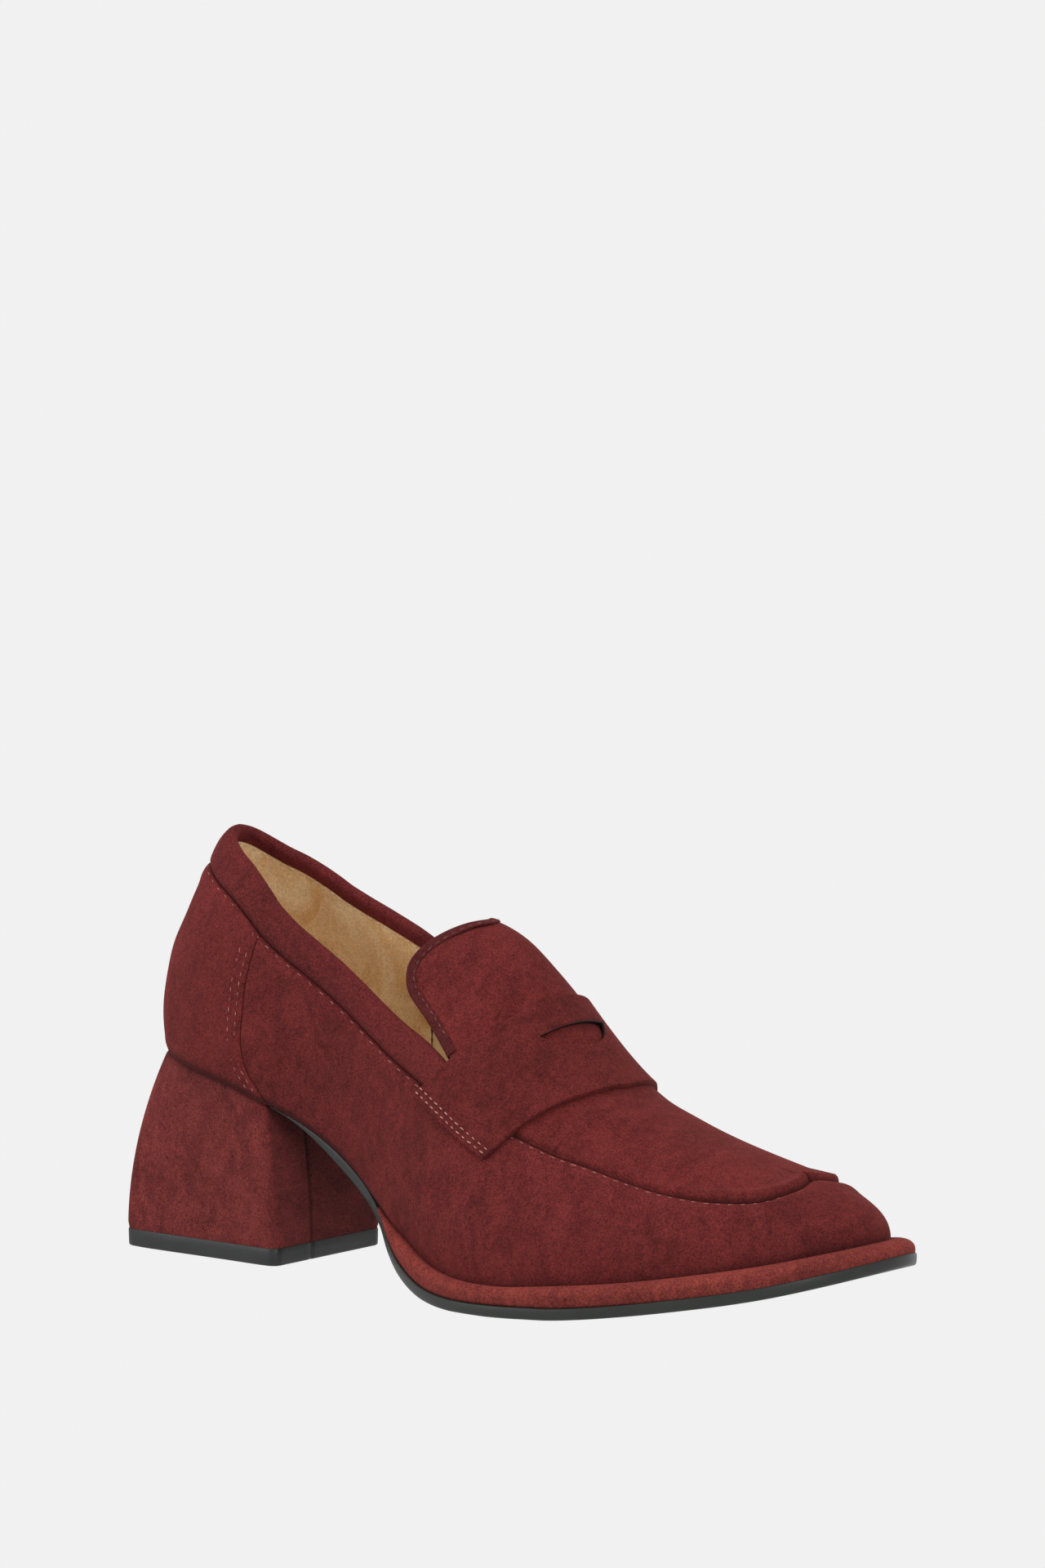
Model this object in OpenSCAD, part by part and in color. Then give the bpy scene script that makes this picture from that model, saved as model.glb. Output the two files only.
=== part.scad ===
// Penny loafer with a covered block heel, right shoe, about EU 38.
// Millimetres, +X to the toe, -Y to the outer (lateral) side, +Z up, origin
// on the floor under the middle of the shoe.
//
// Every upper piece is a patch of one last surface, given by a side (u) and a
// height on it (v): u = 0 at the back of the heel, 11 at the toe, 22 again at
// the back by way of the inner side; v = 0 at the feather edge where the upper
// meets the bottom, 1 on the ridge over the instep.

/* [Piece to draw] */

/* [Overall size] */
// Length of the shoe, toe of the sole to back of the heel
shoe_length = 253; // [205:1:305]
// Width over the sole at the ball
shoe_width = 93; // [75:1:115]
// Height of the heel seat at the back over the tread
heel_height = 53; // [42:1:66]
// Height of the upper over the heel seat at the back
collar_height = 63; // [52:1:76]

/* [Upper] */
// Suede of the outer pieces
suede = 1.2; // [0.9:0.1:1.6]
// Stiffeners and interlinings between upper and lining
stiffener = 0.9; // [0.6:0.1:1.2]
// Lining leather
lining = 0.9; // [0.6:0.1:1.2]
// Width of the collar band on the outside, as a share of the drawn one
band_share = 1; // [0.8:0.05:1.25]
// How far the collar band is turned in over the topline
turn_in = 4.5; // [3:0.5:7]
// Width of the saddle strap, as a share of the drawn one
strap_share = 1; // [0.8:0.05:1.25]
// Strap leather
strap_thickness = 1.2; // [0.9:0.1:1.6]
// Length of the half-moon slot in the strap
slot_length = 28; // [18:1:34]
// Depth of the slot
slot_depth = 7.5; // [4:0.5:9]
// Width of the tongue's binding on the face
binding_width = 4.2; // [3:0.2:6]

/* [Bottom] */
// Outsole rubber
sole = 3.3; // [2.5:0.1:5]
// How far the covered rand stands out at the toe
rand_reach = 7.2; // [5:0.2:9]
// Height of the rand over the feather edge
rand_rise = 2.4; // [1.5:0.1:3.5]
// Insole board
insole = 2; // [1.5:0.1:3]
// Foam under the sock
sock_foam_thickness = 2; // [1:0.5:4]
// Sock lining
sock = 1; // [0.8:0.1:1.4]
// Width of the steel shank
shank_width = 11; // [8:1:14]

/* [Heel] */
// Length of the heel at the floor
heel_length = 61; // [48:1:72]
// Width of the heel at the floor
heel_width = 49; // [40:1:58]
// Rubber top piece
top_piece_thickness = 5; // [3:0.5:8]
// Suede round the heel block
heel_wrap = 1; // [0.8:0.1:1.4]

/* [Hidden] */

gap = 0.12;
kx = shoe_length / 253;
ky = shoe_width / 93;
kh = collar_height / 63;
lift = heel_height / 53;

// x, outer and inner half width of the feather edge; x of the ridge it leans
// to; rise and outward lean at the feather; flatness at the ridge
LAST = [
    [  0.0,  0.0,  0.0, 44.5, 27, 8, 12],
    [  3.5, 14.0, 14.0,  45, 27, 9, 12],
    [ 23.0, 26.0, 25.0,  54, 28, 7, 11],
    [ 46.0, 28.0, 27.0,  68, 30, 6, 15],
    [ 77.5, 19.5, 17.5,  88, 32, 8, 22],
    [104.5, 30.0, 25.0, 110, 30, 8, 24],
    [134.0, 47.0, 38.0, 134, 27, 6, 24],
    [165.5, 44.0, 40.5, 162, 22, 5, 26],
    [192.0, 34.0, 39.5, 186, 18, 4, 26],
    [220.5, 25.0, 33.0, 202, 14, 3, 22],
    [233.0, 16.5, 23.0, 207, 12, 2, 20],
    [243.2,  0.0,  7.5, 207, 12, 2, 20],
];
TOE = len(LAST) - 1;
ROUND = 2 * TOE;

// feather edge over its lowest point, along x
SEAT = [
    [0, 53], [18, 50], [32, 47.5], [42, 45], [52, 41.5], [62, 37.5], [72, 32],
    [82, 25.3], [92, 17.8], [103, 10.5], [114, 5.5], [124, 2.2], [135, 0.4],
    [150, 0], [165, 1.3], [188, 3.9], [210, 7.8], [225, 11], [240, 14.8], [250, 17.6],
];
// ridge of the upper over the lowest feather edge
RIDGE = [
    [30, 145], [52, 129], [66, 116], [86, 104], [100, 97.2], [112, 93.8],
    [122, 88], [133, 77.6], [145, 64.3], [158, 52.6], [170, 47], [185, 41.5],
    [205, 36.5], [225, 31],
];
// sideways place of the ridge
SWAY = [[40, 0], [86, 1], [105, 4], [125, 4], [145, 2.5], [165, 1.5], [208, 3]];
// platform between outsole and feather edge
PLATFORM = [
    [92, 0], [100, 0.6], [110, 2], [120, 2.4], [135, 1.9], [150, 1.6], [160, 2],
    [170, 2.6], [190, 2.6], [225, 3], [240, 2.8], [250, 2.2],
];
// reach of the rand beyond the feather edge, as a share of rand_reach
REACH = [
    [88, 0], [96, 0.2], [104, 0.52], [114, 0.7], [150, 0.78], [175, 0.92], [200, 1], [250, 0.97],
];

// seams: height v along u from the back of the heel
TOPLINE_OUTER = [
    [0, 0.6], [0.9, 0.592], [1.9, 0.573], [2.5, 0.555], [3, 0.535], [3.5, 0.522], [4.2, 0.519],
    [5, 0.52], [5.5, 0.515],
];
TOPLINE_INNER = [
    [0, 0.6], [0.9, 0.59], [1.8, 0.568], [2.4, 0.562], [3, 0.572], [3.5, 0.585], [4, 0.595],
    [5, 0.58], [5.5, 0.55],
];
BAND = [[0, 0.1], [2, 0.1], [3, 0.105], [4, 0.108], [5, 0.098], [5.5, 0.09]];
APRON_SEAM = [
    [5.5, 0.436], [6, 0.475], [6.4, 0.513], [7, 0.548], [7.6, 0.54], [8.1, 0.52], [8.6, 0.514],
    [9.2, 0.552], [9.9, 0.662], [10.7, 0.765], [11, 0.78],
];
// front seam of the counter cover, u along v
COUNTER_SEAM = [
    [0, 3.2], [0.035, 3.1], [0.08, 2.99], [0.145, 2.92], [0.23, 2.88], [0.32, 2.83], [0.45, 2.79],
];
// edge of the tongue, v along u
TONGUE = [
    [4.28, 0.96], [4.3, 0.93], [4.36, 0.84], [4.42, 0.78], [4.5, 0.72], [4.6, 0.665], [4.65, 0.63],
    [4.7, 0.608], [4.9, 0.585], [5.2, 0.558], [5.5, 0.53],
];
throat = 5.5;
// edges of the saddle strap, u along v
STRAP_REAR = [
    [0.395, 5.19], [0.46, 5.36], [0.53, 5.51], [0.64, 5.74], [0.73, 5.86], [0.82, 5.95], [0.9, 6],
    [1, 6.02],
];
STRAP_FRONT = [
    [0.395, 6.19], [0.46, 6.31], [0.53, 6.41], [0.64, 6.55], [0.73, 6.67], [0.82, 6.77], [0.9, 6.84],
    [1, 6.9],
];
strap_end = 0.395;

// ---------- curves ----------
function place(t, x, i = 0) = i >= len(t) - 2 || x < t[i + 1][0] ? i : place(t, x, i + 1);
function tilt(t, i) = let (a = max(i - 1, 0), b = min(i + 1, len(t) - 1))
    (t[b][1] - t[a][1]) / (t[b][0] - t[a][0]);
// smooth curve through the points of a table, straight beyond its ends
function curve(t, x) =
    let (i = place(t, x), h = t[i + 1][0] - t[i][0], s = (x - t[i][0]) / h)
    s < 0 ? t[i][1] + tilt(t, i) * s * h
    : s > 1 ? t[i + 1][1] + tilt(t, i + 1) * (s - 1) * h
    : (2 * pow(s, 3) - 3 * s * s + 1) * t[i][1] + (pow(s, 3) - 2 * s * s + s) * h * tilt(t, i)
        + (3 * s * s - 2 * pow(s, 3)) * t[i + 1][1] + (pow(s, 3) - s * s) * h * tilt(t, i + 1);
function mix(a, b, t) = a + (b - a) * t;
function unit(p) = p / norm(p);
function steps(a, b, n) = [for (i = [0:n]) mix(a, b, i / n)];

// ---------- last ----------
FEATHER = [
    for (s = LAST) [s[0] * kx, -s[1] * ky, s[3] * kx, s[4] * kh, s[5], s[6] * ky],
    for (i = [TOE - 1:-1:1]) let (s = LAST[i]) [s[0] * kx, s[2] * ky, s[3] * kx, s[4] * kh, s[5], s[6] * ky],
];
// the toe row sits a little to the inner side
ROWS = [for (i = [0:ROUND - 1]) i == TOE
    ? [FEATHER[i][0], LAST[TOE][2] * ky, FEATHER[i][2], FEATHER[i][3], FEATHER[i][4], FEATHER[i][5]]
    : FEATHER[i]];
function row(u) =
    let (i = floor(u), f = u - i, n = ROUND, k = i + 2 * n)
    (pow(1 - f, 3) * ROWS[(k - 1) % n] + (3 * pow(f, 3) - 6 * f * f + 4) * ROWS[k % n]
        + (-3 * pow(f, 3) + 3 * f * f + 3 * f + 1) * ROWS[(k + 1) % n] + pow(f, 3) * ROWS[(k + 2) % n]) / 6;
ground = sole + 1.7;
function seat(x) = ground + curve(SEAT, x / kx) * (x < 150 * kx ? lift : 1);
function fall(x) = (seat(x + 1) - seat(x - 1)) / 2;
function lean(x) = sqrt(1 + pow(fall(x), 2));
function ridge(x) = seat(x) + (curve(RIDGE, x / kx) - curve(SEAT, x / kx)) * kh;
function sway(x) = curve(SWAY, x / kx) * ky;
// feather edge, two handles and ridge of the upright section at u
function section(u) =
    let (
        r = row(u), top = [r[2], sway(r[2])], foot = [r[0], r[1]], d = unit(foot - top),
        rise = (ridge(r[2] + 1) - ridge(r[2] - 1)) / 2,
        a = [foot[0], foot[1], seat(foot[0])], b = [top[0], top[1], ridge(top[0])]
    ) [a, a + [r[4] * d[0], r[4] * d[1], r[3]], b + r[5] * [d[0], d[1], rise * d[0]], b];
function bend(s, v) =
    pow(1 - v, 3) * s[0] + 3 * v * pow(1 - v, 2) * s[1] + 3 * v * v * (1 - v) * s[2] + pow(v, 3) * s[3];
function skin(u, v) = bend(section(u), v);
// outward normal of the last
function outward(u, v) =
    let (s = section(u), t = section(u + 0.02), w = min(v, 0.97), p = bend(s, w))
    unit(cross(bend(t, w) - p, bend(s, w + 0.02) - p));
// a point h off the last; on the ridge the two sides share one normal
function off(u, v, h) = skin(u, v)
    + h * (v > 0.985 ? unit(outward(u, 0.97) + outward(ROUND - u, 0.97)) : outward(u, v));

// ---------- seams ----------
function away(u) = u > TOE ? u - ROUND : u;
function topline(u) = let (a = away(u)) a >= 0 ? curve(TOPLINE_OUTER, a) : curve(TOPLINE_INNER, -a);
function fold(u) = abs(away(u));
function seam(u) = fold(u) > throat ? curve(APRON_SEAM, fold(u)) - (band_share - 1) * 0.05
    : mix(topline(u), topline(u) - curve(BAND, fold(u)), band_share);
function tongue(u) = curve(TONGUE, fold(u));
// u of the counter's front seam at height v, and of the strap's edges
function counter_front(v) = curve(COUNTER_SEAM, v);
function strap_rear(v) = mix(curve(STRAP_FRONT, v), curve(STRAP_REAR, v), 0.5 + strap_share / 2);
function strap_front(v) = mix(curve(STRAP_REAR, v), curve(STRAP_FRONT, v), 0.5 + strap_share / 2);

// ---------- bottom ----------
// feather edge moved inward by d, square to the edge
function inward(u, d) =
    let (
        r = row(u), s = row(u + 0.02), t = unit([s[0] - r[0], s[1] - r[1]]), n = [-t[1], t[0]],
        k = unit([r[2] - r[0], sway(r[2]) - r[1]])
    ) [r[0], r[1]] + k * d / max(0.6, n * k);
function on(p, z) = [p[0], p[1], z];
// height t over the feather edge, measured square to the bottom
function level(p, t) = on(p, seat(p[0]) + t * lean(p[0]));
function platform(x) = max(0, curve(PLATFORM, x / kx)) * (x < 92 * kx ? 0 : 1);
function reach(x) = max(0, curve(REACH, x / kx)) * (x < 88 * kx ? 0 : 1) * rand_reach;
function sole_top(x) = seat(x) - platform(x) - 0.1;
function sole_bottom(x) = max(0, sole_top(x) - sole * lean(x));

// ---------- solids ----------
// two triangles of a quad given counter-clockwise from outside
function quad(a, b, c, d) = [[a, c, b], [a, d, c]];
function flat(l) = [for (a = l) for (b = a) b];
// the strip of faces across a loop, point i to point n - 1 - i
function zip(n, at, up) =
    let (h = floor(n / 2), tip = n % 2 == 1 ? [up ? [h - 1, h + 1, h] : [h - 1, h, h + 1]] : [])
    concat(
        flat([for (i = [0:h - 2]) up ? quad(at + i, at + i + 1, at + n - 2 - i, at + n - 1 - i)
            : quad(at + n - 1 - i, at + n - 2 - i, at + i + 1, at + i)]),
        [for (t = tip) [t[0] + at, t[1] + at, t[2] + at]]);
// closed loops of equal length joined in a solid, both end loops zipped shut;
// loops run counter-clockwise seen from the last one
module loft(loops) {
    n = len(loops[0]);
    m = len(loops);
    side = [for (k = [0:m - 2]) for (i = [0:n - 1]) let (j = (i + 1) % n)
        quad(k * n + i, k * n + j, (k + 1) * n + j, (k + 1) * n + i)];
    polyhedron(flat(loops), concat(zip(n, 0, false), flat(side), zip(n, (m - 1) * n, true)), convexity = 8);
}
// a wall between outer and inner loops, open at both ends
module tube(outer, inner) {
    n = len(outer[0]);
    m = len(outer);
    at = n * m;
    faces = [for (i = [0:n - 1]) let (j = (i + 1) % n) each concat(
        [for (k = [0:m - 2]) each [
            quad(k * n + i, k * n + j, (k + 1) * n + j, (k + 1) * n + i),
            quad(at + k * n + j, at + k * n + i, at + (k + 1) * n + i, at + (k + 1) * n + j)]],
        [quad(i, at + i, at + j, j), quad(at - n + i, at - n + j, 2 * at - n + j, 2 * at - n + i)])];
    polyhedron(concat(flat(outer), flat(inner)), flat(faces), convexity = 8);
}
// a sheet between an outer and an inner grid of points
module sheet(face, back) {
    m = len(face);
    n = len(face[0]);
    at = m * n;
    front = [for (k = [0:m - 2]) for (i = [0:n - 2])
        quad(k * n + i, k * n + i + 1, (k + 1) * n + i + 1, (k + 1) * n + i)];
    rear = [for (k = [0:m - 2]) for (i = [0:n - 2])
        quad(at + k * n + i, at + (k + 1) * n + i, at + (k + 1) * n + i + 1, at + k * n + i + 1)];
    long = [for (i = [0:n - 2]) each [
        quad(i, at + i, at + i + 1, i + 1),
        quad((m - 1) * n + i, (m - 1) * n + i + 1, at + (m - 1) * n + i + 1, at + (m - 1) * n + i)]];
    short = [for (k = [0:m - 2]) each [
        quad(k * n, (k + 1) * n, at + (k + 1) * n, at + k * n),
        quad(k * n + n - 1, at + k * n + n - 1, at + (k + 1) * n + n - 1, (k + 1) * n + n - 1)]];
    polyhedron(concat(flat(face), flat(back)), flat(concat(front, rear, long, short)), convexity = 8);
}
// a sheet of the last round the ridge: rings from the outer edge up, the last
// ring zipped shut over the ridge
module plug(face, back) {
    m = len(face);
    n = len(face[0]);
    at = m * n;
    top = at - n;
    rings = [for (k = [0:m - 2]) for (i = [0:n - 2]) each [
        quad(k * n + i, k * n + i + 1, (k + 1) * n + i + 1, (k + 1) * n + i),
        quad(at + k * n + i, at + (k + 1) * n + i, at + (k + 1) * n + i + 1, at + k * n + i + 1)]];
    edge = [for (i = [0:n - 2]) quad(i, at + i, at + i + 1, i + 1)];
    end = [for (k = [0:m - 2]) each [
        quad(k * n, (k + 1) * n, at + (k + 1) * n, at + k * n),
        quad(k * n + n - 1, at + k * n + n - 1, at + (k + 1) * n + n - 1, (k + 1) * n + n - 1)]];
    last = [quad(top, top + n - 1, at + top + n - 1, at + top)];
    polyhedron(concat(flat(face), flat(back)),
        concat(flat(concat(rings, edge, end, last)), zip(n, top, true), zip(n, at + top, false)), convexity = 8);
}
function spread(us, rows, low, high, h) = [for (k = [0:rows]) [for (u = us)
    off(u, mix(low(u), high(u), k / rows), h)]];
module patch(us, rows, low, high, outer, inner)
    sheet(spread(us, rows, low, high, outer), spread(us, rows, low, high, inner));

// ---------- layers ----------
fine = 0.0015; // a seam's gap as a share of height
// where inner layers start, clear of the turned-in feather margin
function clear_of_margin(u) = let (r = row(u)) (suede * lean(r[0]) + 0.3) / (3 * r[3]);
in1 = -(suede + gap);
in2 = in1 - stiffener;
in3 = in2 - gap;
in4 = in3 - lining;
roll = (-in4 + 0.36) / 2; // half the thickness of the collar
wall = -in4 + 0.35; // from the feather edge to the insole board
// upward unit direction along the last at (u, v), and millimetres per unit of v
function climb(u, v) = let (s = section(u)) bend(s, v + 0.01) - bend(s, v - 0.01);
function rate(u, v) = norm(climb(u, v)) / 0.02;
function collar_top(u) = topline(u) - roll / rate(u, topline(u));

module vamp() {
    cols = 54;
    rows = [0, 0.14, 0.34, 0.56, 0.78, 1];
    function at(k, i) = let (w = counter_front(rows[k] * 0.44) + 0.02) mix(w, ROUND - w, i / cols);
    function high(u, s) = s * (seam(u) - fine);
    margin = [for (d = [12, 2.5]) [for (i = [0:cols]) let (u = at(0, i)) level(inward(u, d), 0)]];
    under = [for (d = [12, 2.5, suede + 0.1])
        [for (i = [0:cols]) let (u = at(0, i)) level(inward(u, d), suede)]];
    face = [for (k = [0:5]) [for (i = [0:cols]) let (u = at(k, i)) off(u, high(u, rows[k]), 0)]];
    back = [for (k = [1:5]) [for (i = [0:cols]) let (u = at(k, i)) off(u, high(u, rows[k]), -suede)]];
    color("#5f2625") sheet(concat(margin, face), concat(under, back));
}
module counter_cover() {
    cols = 20;
    rows = [0, 0.14, 0.34, 0.56, 0.78, 1];
    function at(k, i) = let (w = counter_front(rows[k] * 0.44) - 0.01) mix(-w, w, i / cols);
    function high(u, s) = s * (seam(u) - fine);
    margin = [for (d = [12, 2.5]) [for (i = [0:cols]) let (u = at(0, i)) level(inward(u, d), 0)]];
    under = [for (d = [12, 2.5, suede + 0.1])
        [for (i = [0:cols]) let (u = at(0, i)) level(inward(u, d), suede)]];
    face = [for (k = [0:5]) [for (i = [0:cols]) let (u = at(k, i)) off(u, high(u, rows[k]), 0)]];
    back = [for (k = [1:5]) [for (i = [0:cols]) let (u = at(k, i)) off(u, high(u, rows[k]), -suede)]];
    color("#662a29") sheet(concat(margin, face), concat(under, back));
}
// the tongue's end is cut round: its grid is drawn forward over the ridge
function cut_round(u, v) =
    let (
        t = min(1, max(0, (v - 0.665) / 0.335)),
        d = 0.67 * (1 - pow(1 - t, 1.4)) * max(0, 1 - (fold(u) - 4.28) / 1.4))
    u > TOE ? u - d : u + d;
// sides of the plug from the tongue's end round the toe
plug_half = [
    4.28, 4.32, 4.38, 4.45, 4.54, 4.62, 4.72, 4.86, 5.05, 5.26, 5.48, 5.58, 5.9, 6.3, 6.8, 7.3, 7.8, 8.3,
    8.8, 9.3, 9.8, 10.3, 10.7,
];
plug_us = concat(plug_half, [TOE], [for (i = [len(plug_half) - 1:-1:0]) ROUND - plug_half[i]]);
function plug_low(u) = (fold(u) < 5.5 ? tongue(u) : seam(u)) + fine;
function plug_grid(h) = [for (s = [0, 0.22, 0.46, 0.7, 0.9]) [for (u = plug_us)
    let (v = mix(plug_low(u), 1, s)) off(cut_round(u, v), v, h)]];
module apron() color("#6a2f2f") plug(plug_grid(0), plug_grid(-suede));
module plug_lining() color("#c69b6e") plug(plug_grid(in1), plug_grid(in1 - lining));

module tongue_binding() {
    half = concat(
        [for (u = [5.42, 5.26, 5.1, 4.95, 4.84, 4.76, 4.7, 4.65, 4.6, 4.54, 4.48, 4.42, 4.37, 4.33, 4.295])
            [u, tongue(u)]],
        [[4.276, 0.975]]);
    other = [for (i = [len(half) - 1:-1:0]) [ROUND - half[i][0], half[i][1]]];
    path = [for (q = concat(half, [[4.272, 1]], other)) [cut_round(q[0], q[1]), q[1]]];
    n = len(path) - 1;
    core = suede + gap + lining;
    b = 0.6;
    w = binding_width;
    shape = [
        [3, -core - 0.06 - b], [0.2, -core - 0.06 - b], [-0.7, -core * 0.75], [-0.75, -core * 0.25],
        [-0.1, 0.06 + b], [w, 0.06 + b * 0.8], [w, 0.06], [0.1, 0.06], [-0.12, -core * 0.25],
        [-0.12, -core * 0.75], [0.2, -core - 0.06], [3, -core - 0.06]];
    function loop(i) =
        let (
            q = path[i], p = skin(q[0], q[1]), a = path[max(i - 1, 0)], c = path[min(i + 1, n)],
            t = unit(skin(c[0], c[1]) - skin(a[0], a[1])), m = outward(q[0], q[1]), e = unit(cross(t, m)))
        [for (q = shape) p + q[0] * e + q[1] * m];
    color("#4c1f20") loft([for (i = [0:n]) loop(i)]);
}
module saddle_strap() {
    vs = steps(strap_end, 1, 11);
    cols = concat([for (v = vs) [v, 1]], [for (i = [10:-1:0]) [vs[i], -1]]);
    function at(c, t) = let (u = mix(strap_front(c[0]), strap_rear(c[0]), t))
        [c[1] > 0 ? u : ROUND - u, c[0]];
    function face(h) = [for (k = [0:4]) [for (c = cols) let (q = at(c, k / 4)) off(q[0], q[1], h)]];
    // the slot's straight side lies to the heel and its bow to the toe
    p = skin(mix(strap_rear(1), strap_front(1), 0.27), 1) - [0, 2, 0];
    slope = atan(-(ridge(p[0] + 3) - ridge(p[0] - 3)) / 6);
    r = (pow(slot_length / 2, 2) + pow(slot_depth, 2)) / 2 / slot_depth;
    moon = [for (t = steps(-1, 1, 12))
        [t * slot_length / 2, sqrt(r * r - pow(t * slot_length / 2, 2)) - r + slot_depth]];
    color("#612b29") difference() {
        sheet(face(gap + strap_thickness), face(gap));
        translate(p) rotate([0, slope, 0]) rotate([0, 0, -90])
            linear_extrude(height = 12, center = true) polygon(moon);
    }
}
module collar_band() {
    us = steps(-throat + 0.02, throat - 0.02, 38);
    function path(u, edge) =
        let (
            v1 = collar_top(u), v0 = seam(u) + fine, n = outward(u, v1), t = unit(climb(u, v1)),
            c = off(u, v1, -roll), r = roll - edge)
        concat(
            [c - r * n - max(0.5, turn_in - roll) * t, c - r * n],
            [for (a = [135, 90, 45]) c + r * (cos(a) * n + sin(a) * t)],
            [for (s = [1, 0.5, 0]) off(u, mix(v0, v1, s), -edge)]);
    function loop(u) = let (a = path(u, 0), b = path(u, suede)) concat(a, [for (i = [len(b) - 1:-1:0]) b[i]]);
    color("#6e3233") loft([for (u = us) loop(u)]);
}
module collar_foam() {
    us = steps(-throat + 0.15, throat - 0.15, 34);
    color("#d8d0c0") patch(
        us, 2, function (u) seam(u) + 0.02, function (u) collar_top(u) - 0.004,
        in1, in1 - max(0.6, 2 * roll - 2 * suede - 2 * gap));
}
module counter_stiffener() color("#9b8466")
    patch(steps(-3.5, 3.5, 22), 3, function (u) clear_of_margin(u), function (u) seam(u) - 0.005, in1, in2);
module toe_puff() color("#a8906e")
    patch(
        steps(8.4, ROUND - 8.4, 20), 3, function (u) clear_of_margin(u), function (u) seam(u) - 0.01,
        in1, in2);
module side_interlining(a, b) color("#d9cdb4")
    patch(
        steps(a, b, 14), 3, function (u) clear_of_margin(u), function (u) seam(u) - 0.01,
        in1, in1 - stiffener * 0.7);
module outer_side_interlining() side_interlining(3.6, 8.3);
module inner_side_interlining() side_interlining(ROUND - 8.3, ROUND - 3.6);
// lining: up to the turned-in collar behind the throat, up to the plug before it
function lining_high(u) =
    fold(u) < throat ? topline(u) - (turn_in + 0.5) / rate(u, topline(u)) : seam(u) - 0.004;
lining_seam = 4.05;
module heel_grip_lining() color("#c19163")
    patch(
        steps(-lining_seam + 0.01, lining_seam - 0.01, 26), 4,
        function (u) clear_of_margin(u), function (u) lining_high(u), in3, in4);
module vamp_lining() color("#c69b6e")
    patch(
        concat(
            steps(lining_seam + 0.01, 5.45, 6), steps(5.6, ROUND - 5.6, 34),
            steps(ROUND - 5.45, ROUND - lining_seam - 0.01, 6)),
        4, function (u) clear_of_margin(u), function (u) lining_high(u), in3, in4);

// ---------- bottom ----------
all_round = [for (i = [0:59]) (i + 0.5) * ROUND / 60];
board_top = suede + gap + insole;
module plate(us, d, t0, t1) loft([for (t = [t0, t1]) [for (u = us) level(inward(u, d), t)]]);
screw_x = 26;
nails = [[13, -8], [13, 8], [39, -9], [39, 9]];
// stands a fastener square on the heel seat at (x, y)
module seated(x, y)
    translate([x * kx, y * ky, seat(x * kx)]) rotate([0, atan(-fall(x * kx)), 0]) children();
module bores(screw, nail) {
    seated(screw_x, 0) translate([0, 0, -32]) cylinder(d = screw, h = 50, $fn = 16);
    for (q = nails) seated(q[0], q[1]) translate([0, 0, -17]) cylinder(d = nail, h = 40, $fn = 16);
}
module insole_board() color("#b59a72") difference() {
    plate(all_round, wall, suede + gap, board_top);
    bores(4.7, 2.1);
}
module sock_foam() color("#e7e0d2") difference() {
    plate(all_round, wall + 0.5, board_top + gap, board_top + gap + sock_foam_thickness);
    bores(10, 5);
}
module sock_lining() color("#c69b6e")
    plate(
        all_round, wall + 0.3, board_top + 2 * gap + sock_foam_thickness,
        board_top + 2 * gap + sock_foam_thickness + sock);
module heel_screw() color("#8f9194") seated(screw_x, 0) union() {
    translate([0, 0, -31]) cylinder(d = 4.4, h = 31 + board_top + gap, $fn = 24);
    translate([0, 0, board_top + gap]) cylinder(d = 9, h = 1.4, $fn = 24);
}
module heel_nails() color("#8f9194") for (q = nails) seated(q[0], q[1]) union() {
    translate([0, 0, -16]) cylinder(d = 1.8, h = 16 + board_top + gap, $fn = 16);
    translate([0, 0, board_top + gap]) cylinder(d = 4.2, h = 0.8, $fn = 16);
}
module steel_shank() color("#77797c") difference() {
    loft([for (x = steps(18, 116, 16)) let (q = x * kx, w = shank_width / 2)
        [level([q, -w], 0.06), level([q, w], 0.06), level([q, w], suede - 0.06),
            level([q, -w], suede - 0.06)]]);
    bores(4.7, 2.1);
}
module bottom_filler() color("#8a6f4e")
    plate(steps(5.75, ROUND - 5.75, 35), 12.4, 0.06, suede);
// outline of the sole and of the rand at u, pulled in by d
function edge(u, d) = let (x = row(u)[0]) inward(u, 0.3 + d - reach(x));
module platform_core() {
    us = steps(4.95, ROUND - 4.95, 47);
    color("#7a5a3c") loft([
        [for (u = us) let (p = edge(u, 1.9)) on(p, sole_top(p[0]) + 0.06)],
        [for (u = us) let (p = edge(u, 1.9)) on(p, seat(p[0]) - 0.08)]]);
}
// how much of the rand stands at x: it grows out of the waist
function growth(x) = let (t = min(1, max(0, (x / kx - 92) / 20))) t * t * (3 - 2 * t);
module rand_wrap() {
    us = steps(4.62, ROUND - 4.62, 50);
    function loop(u) =
        let (
            r = row(u), x = r[0], out = max(0.5, reach(x) - 0.3), rise = max(0.15, rand_rise * growth(x)),
            vc = rise / (3 * r[3]), crease = off(u, vc, gap), zt = sole_top(x) + 0.06,
            zc = crease[2], h = zc - zt, g = growth(x), inner = max(0.25, out - 1.4), z0 = seat(x) - 0.02)
        concat([crease], [for (q = [
            [out * 0.35 + 0.45, zc + 0.6 * g], [out * 0.72, zc + 0.35 * g], [out - 0.35, zc - h * 0.22],
            [out, zt + h * 0.42], [out - 0.3, zt], [inner, zt], [inner, z0], [0.12, z0]])
            let (p = inward(u, -q[0])) on(p, q[1])]);
    color("#6c2f2d") loft([for (u = us) loop(u)]);
}
sole_start = 3.22;
sole_us = steps(sole_start, ROUND - sole_start, 55);
function sole_edge(u) = edge(u, 0);
module outsole() color("#2b2d2b") loft([
    [for (u = sole_us) let (p = sole_edge(u)) on(p, sole_bottom(p[0]))],
    [for (u = sole_us) let (p = sole_edge(u)) on(p, sole_top(p[0]))]]);

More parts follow.
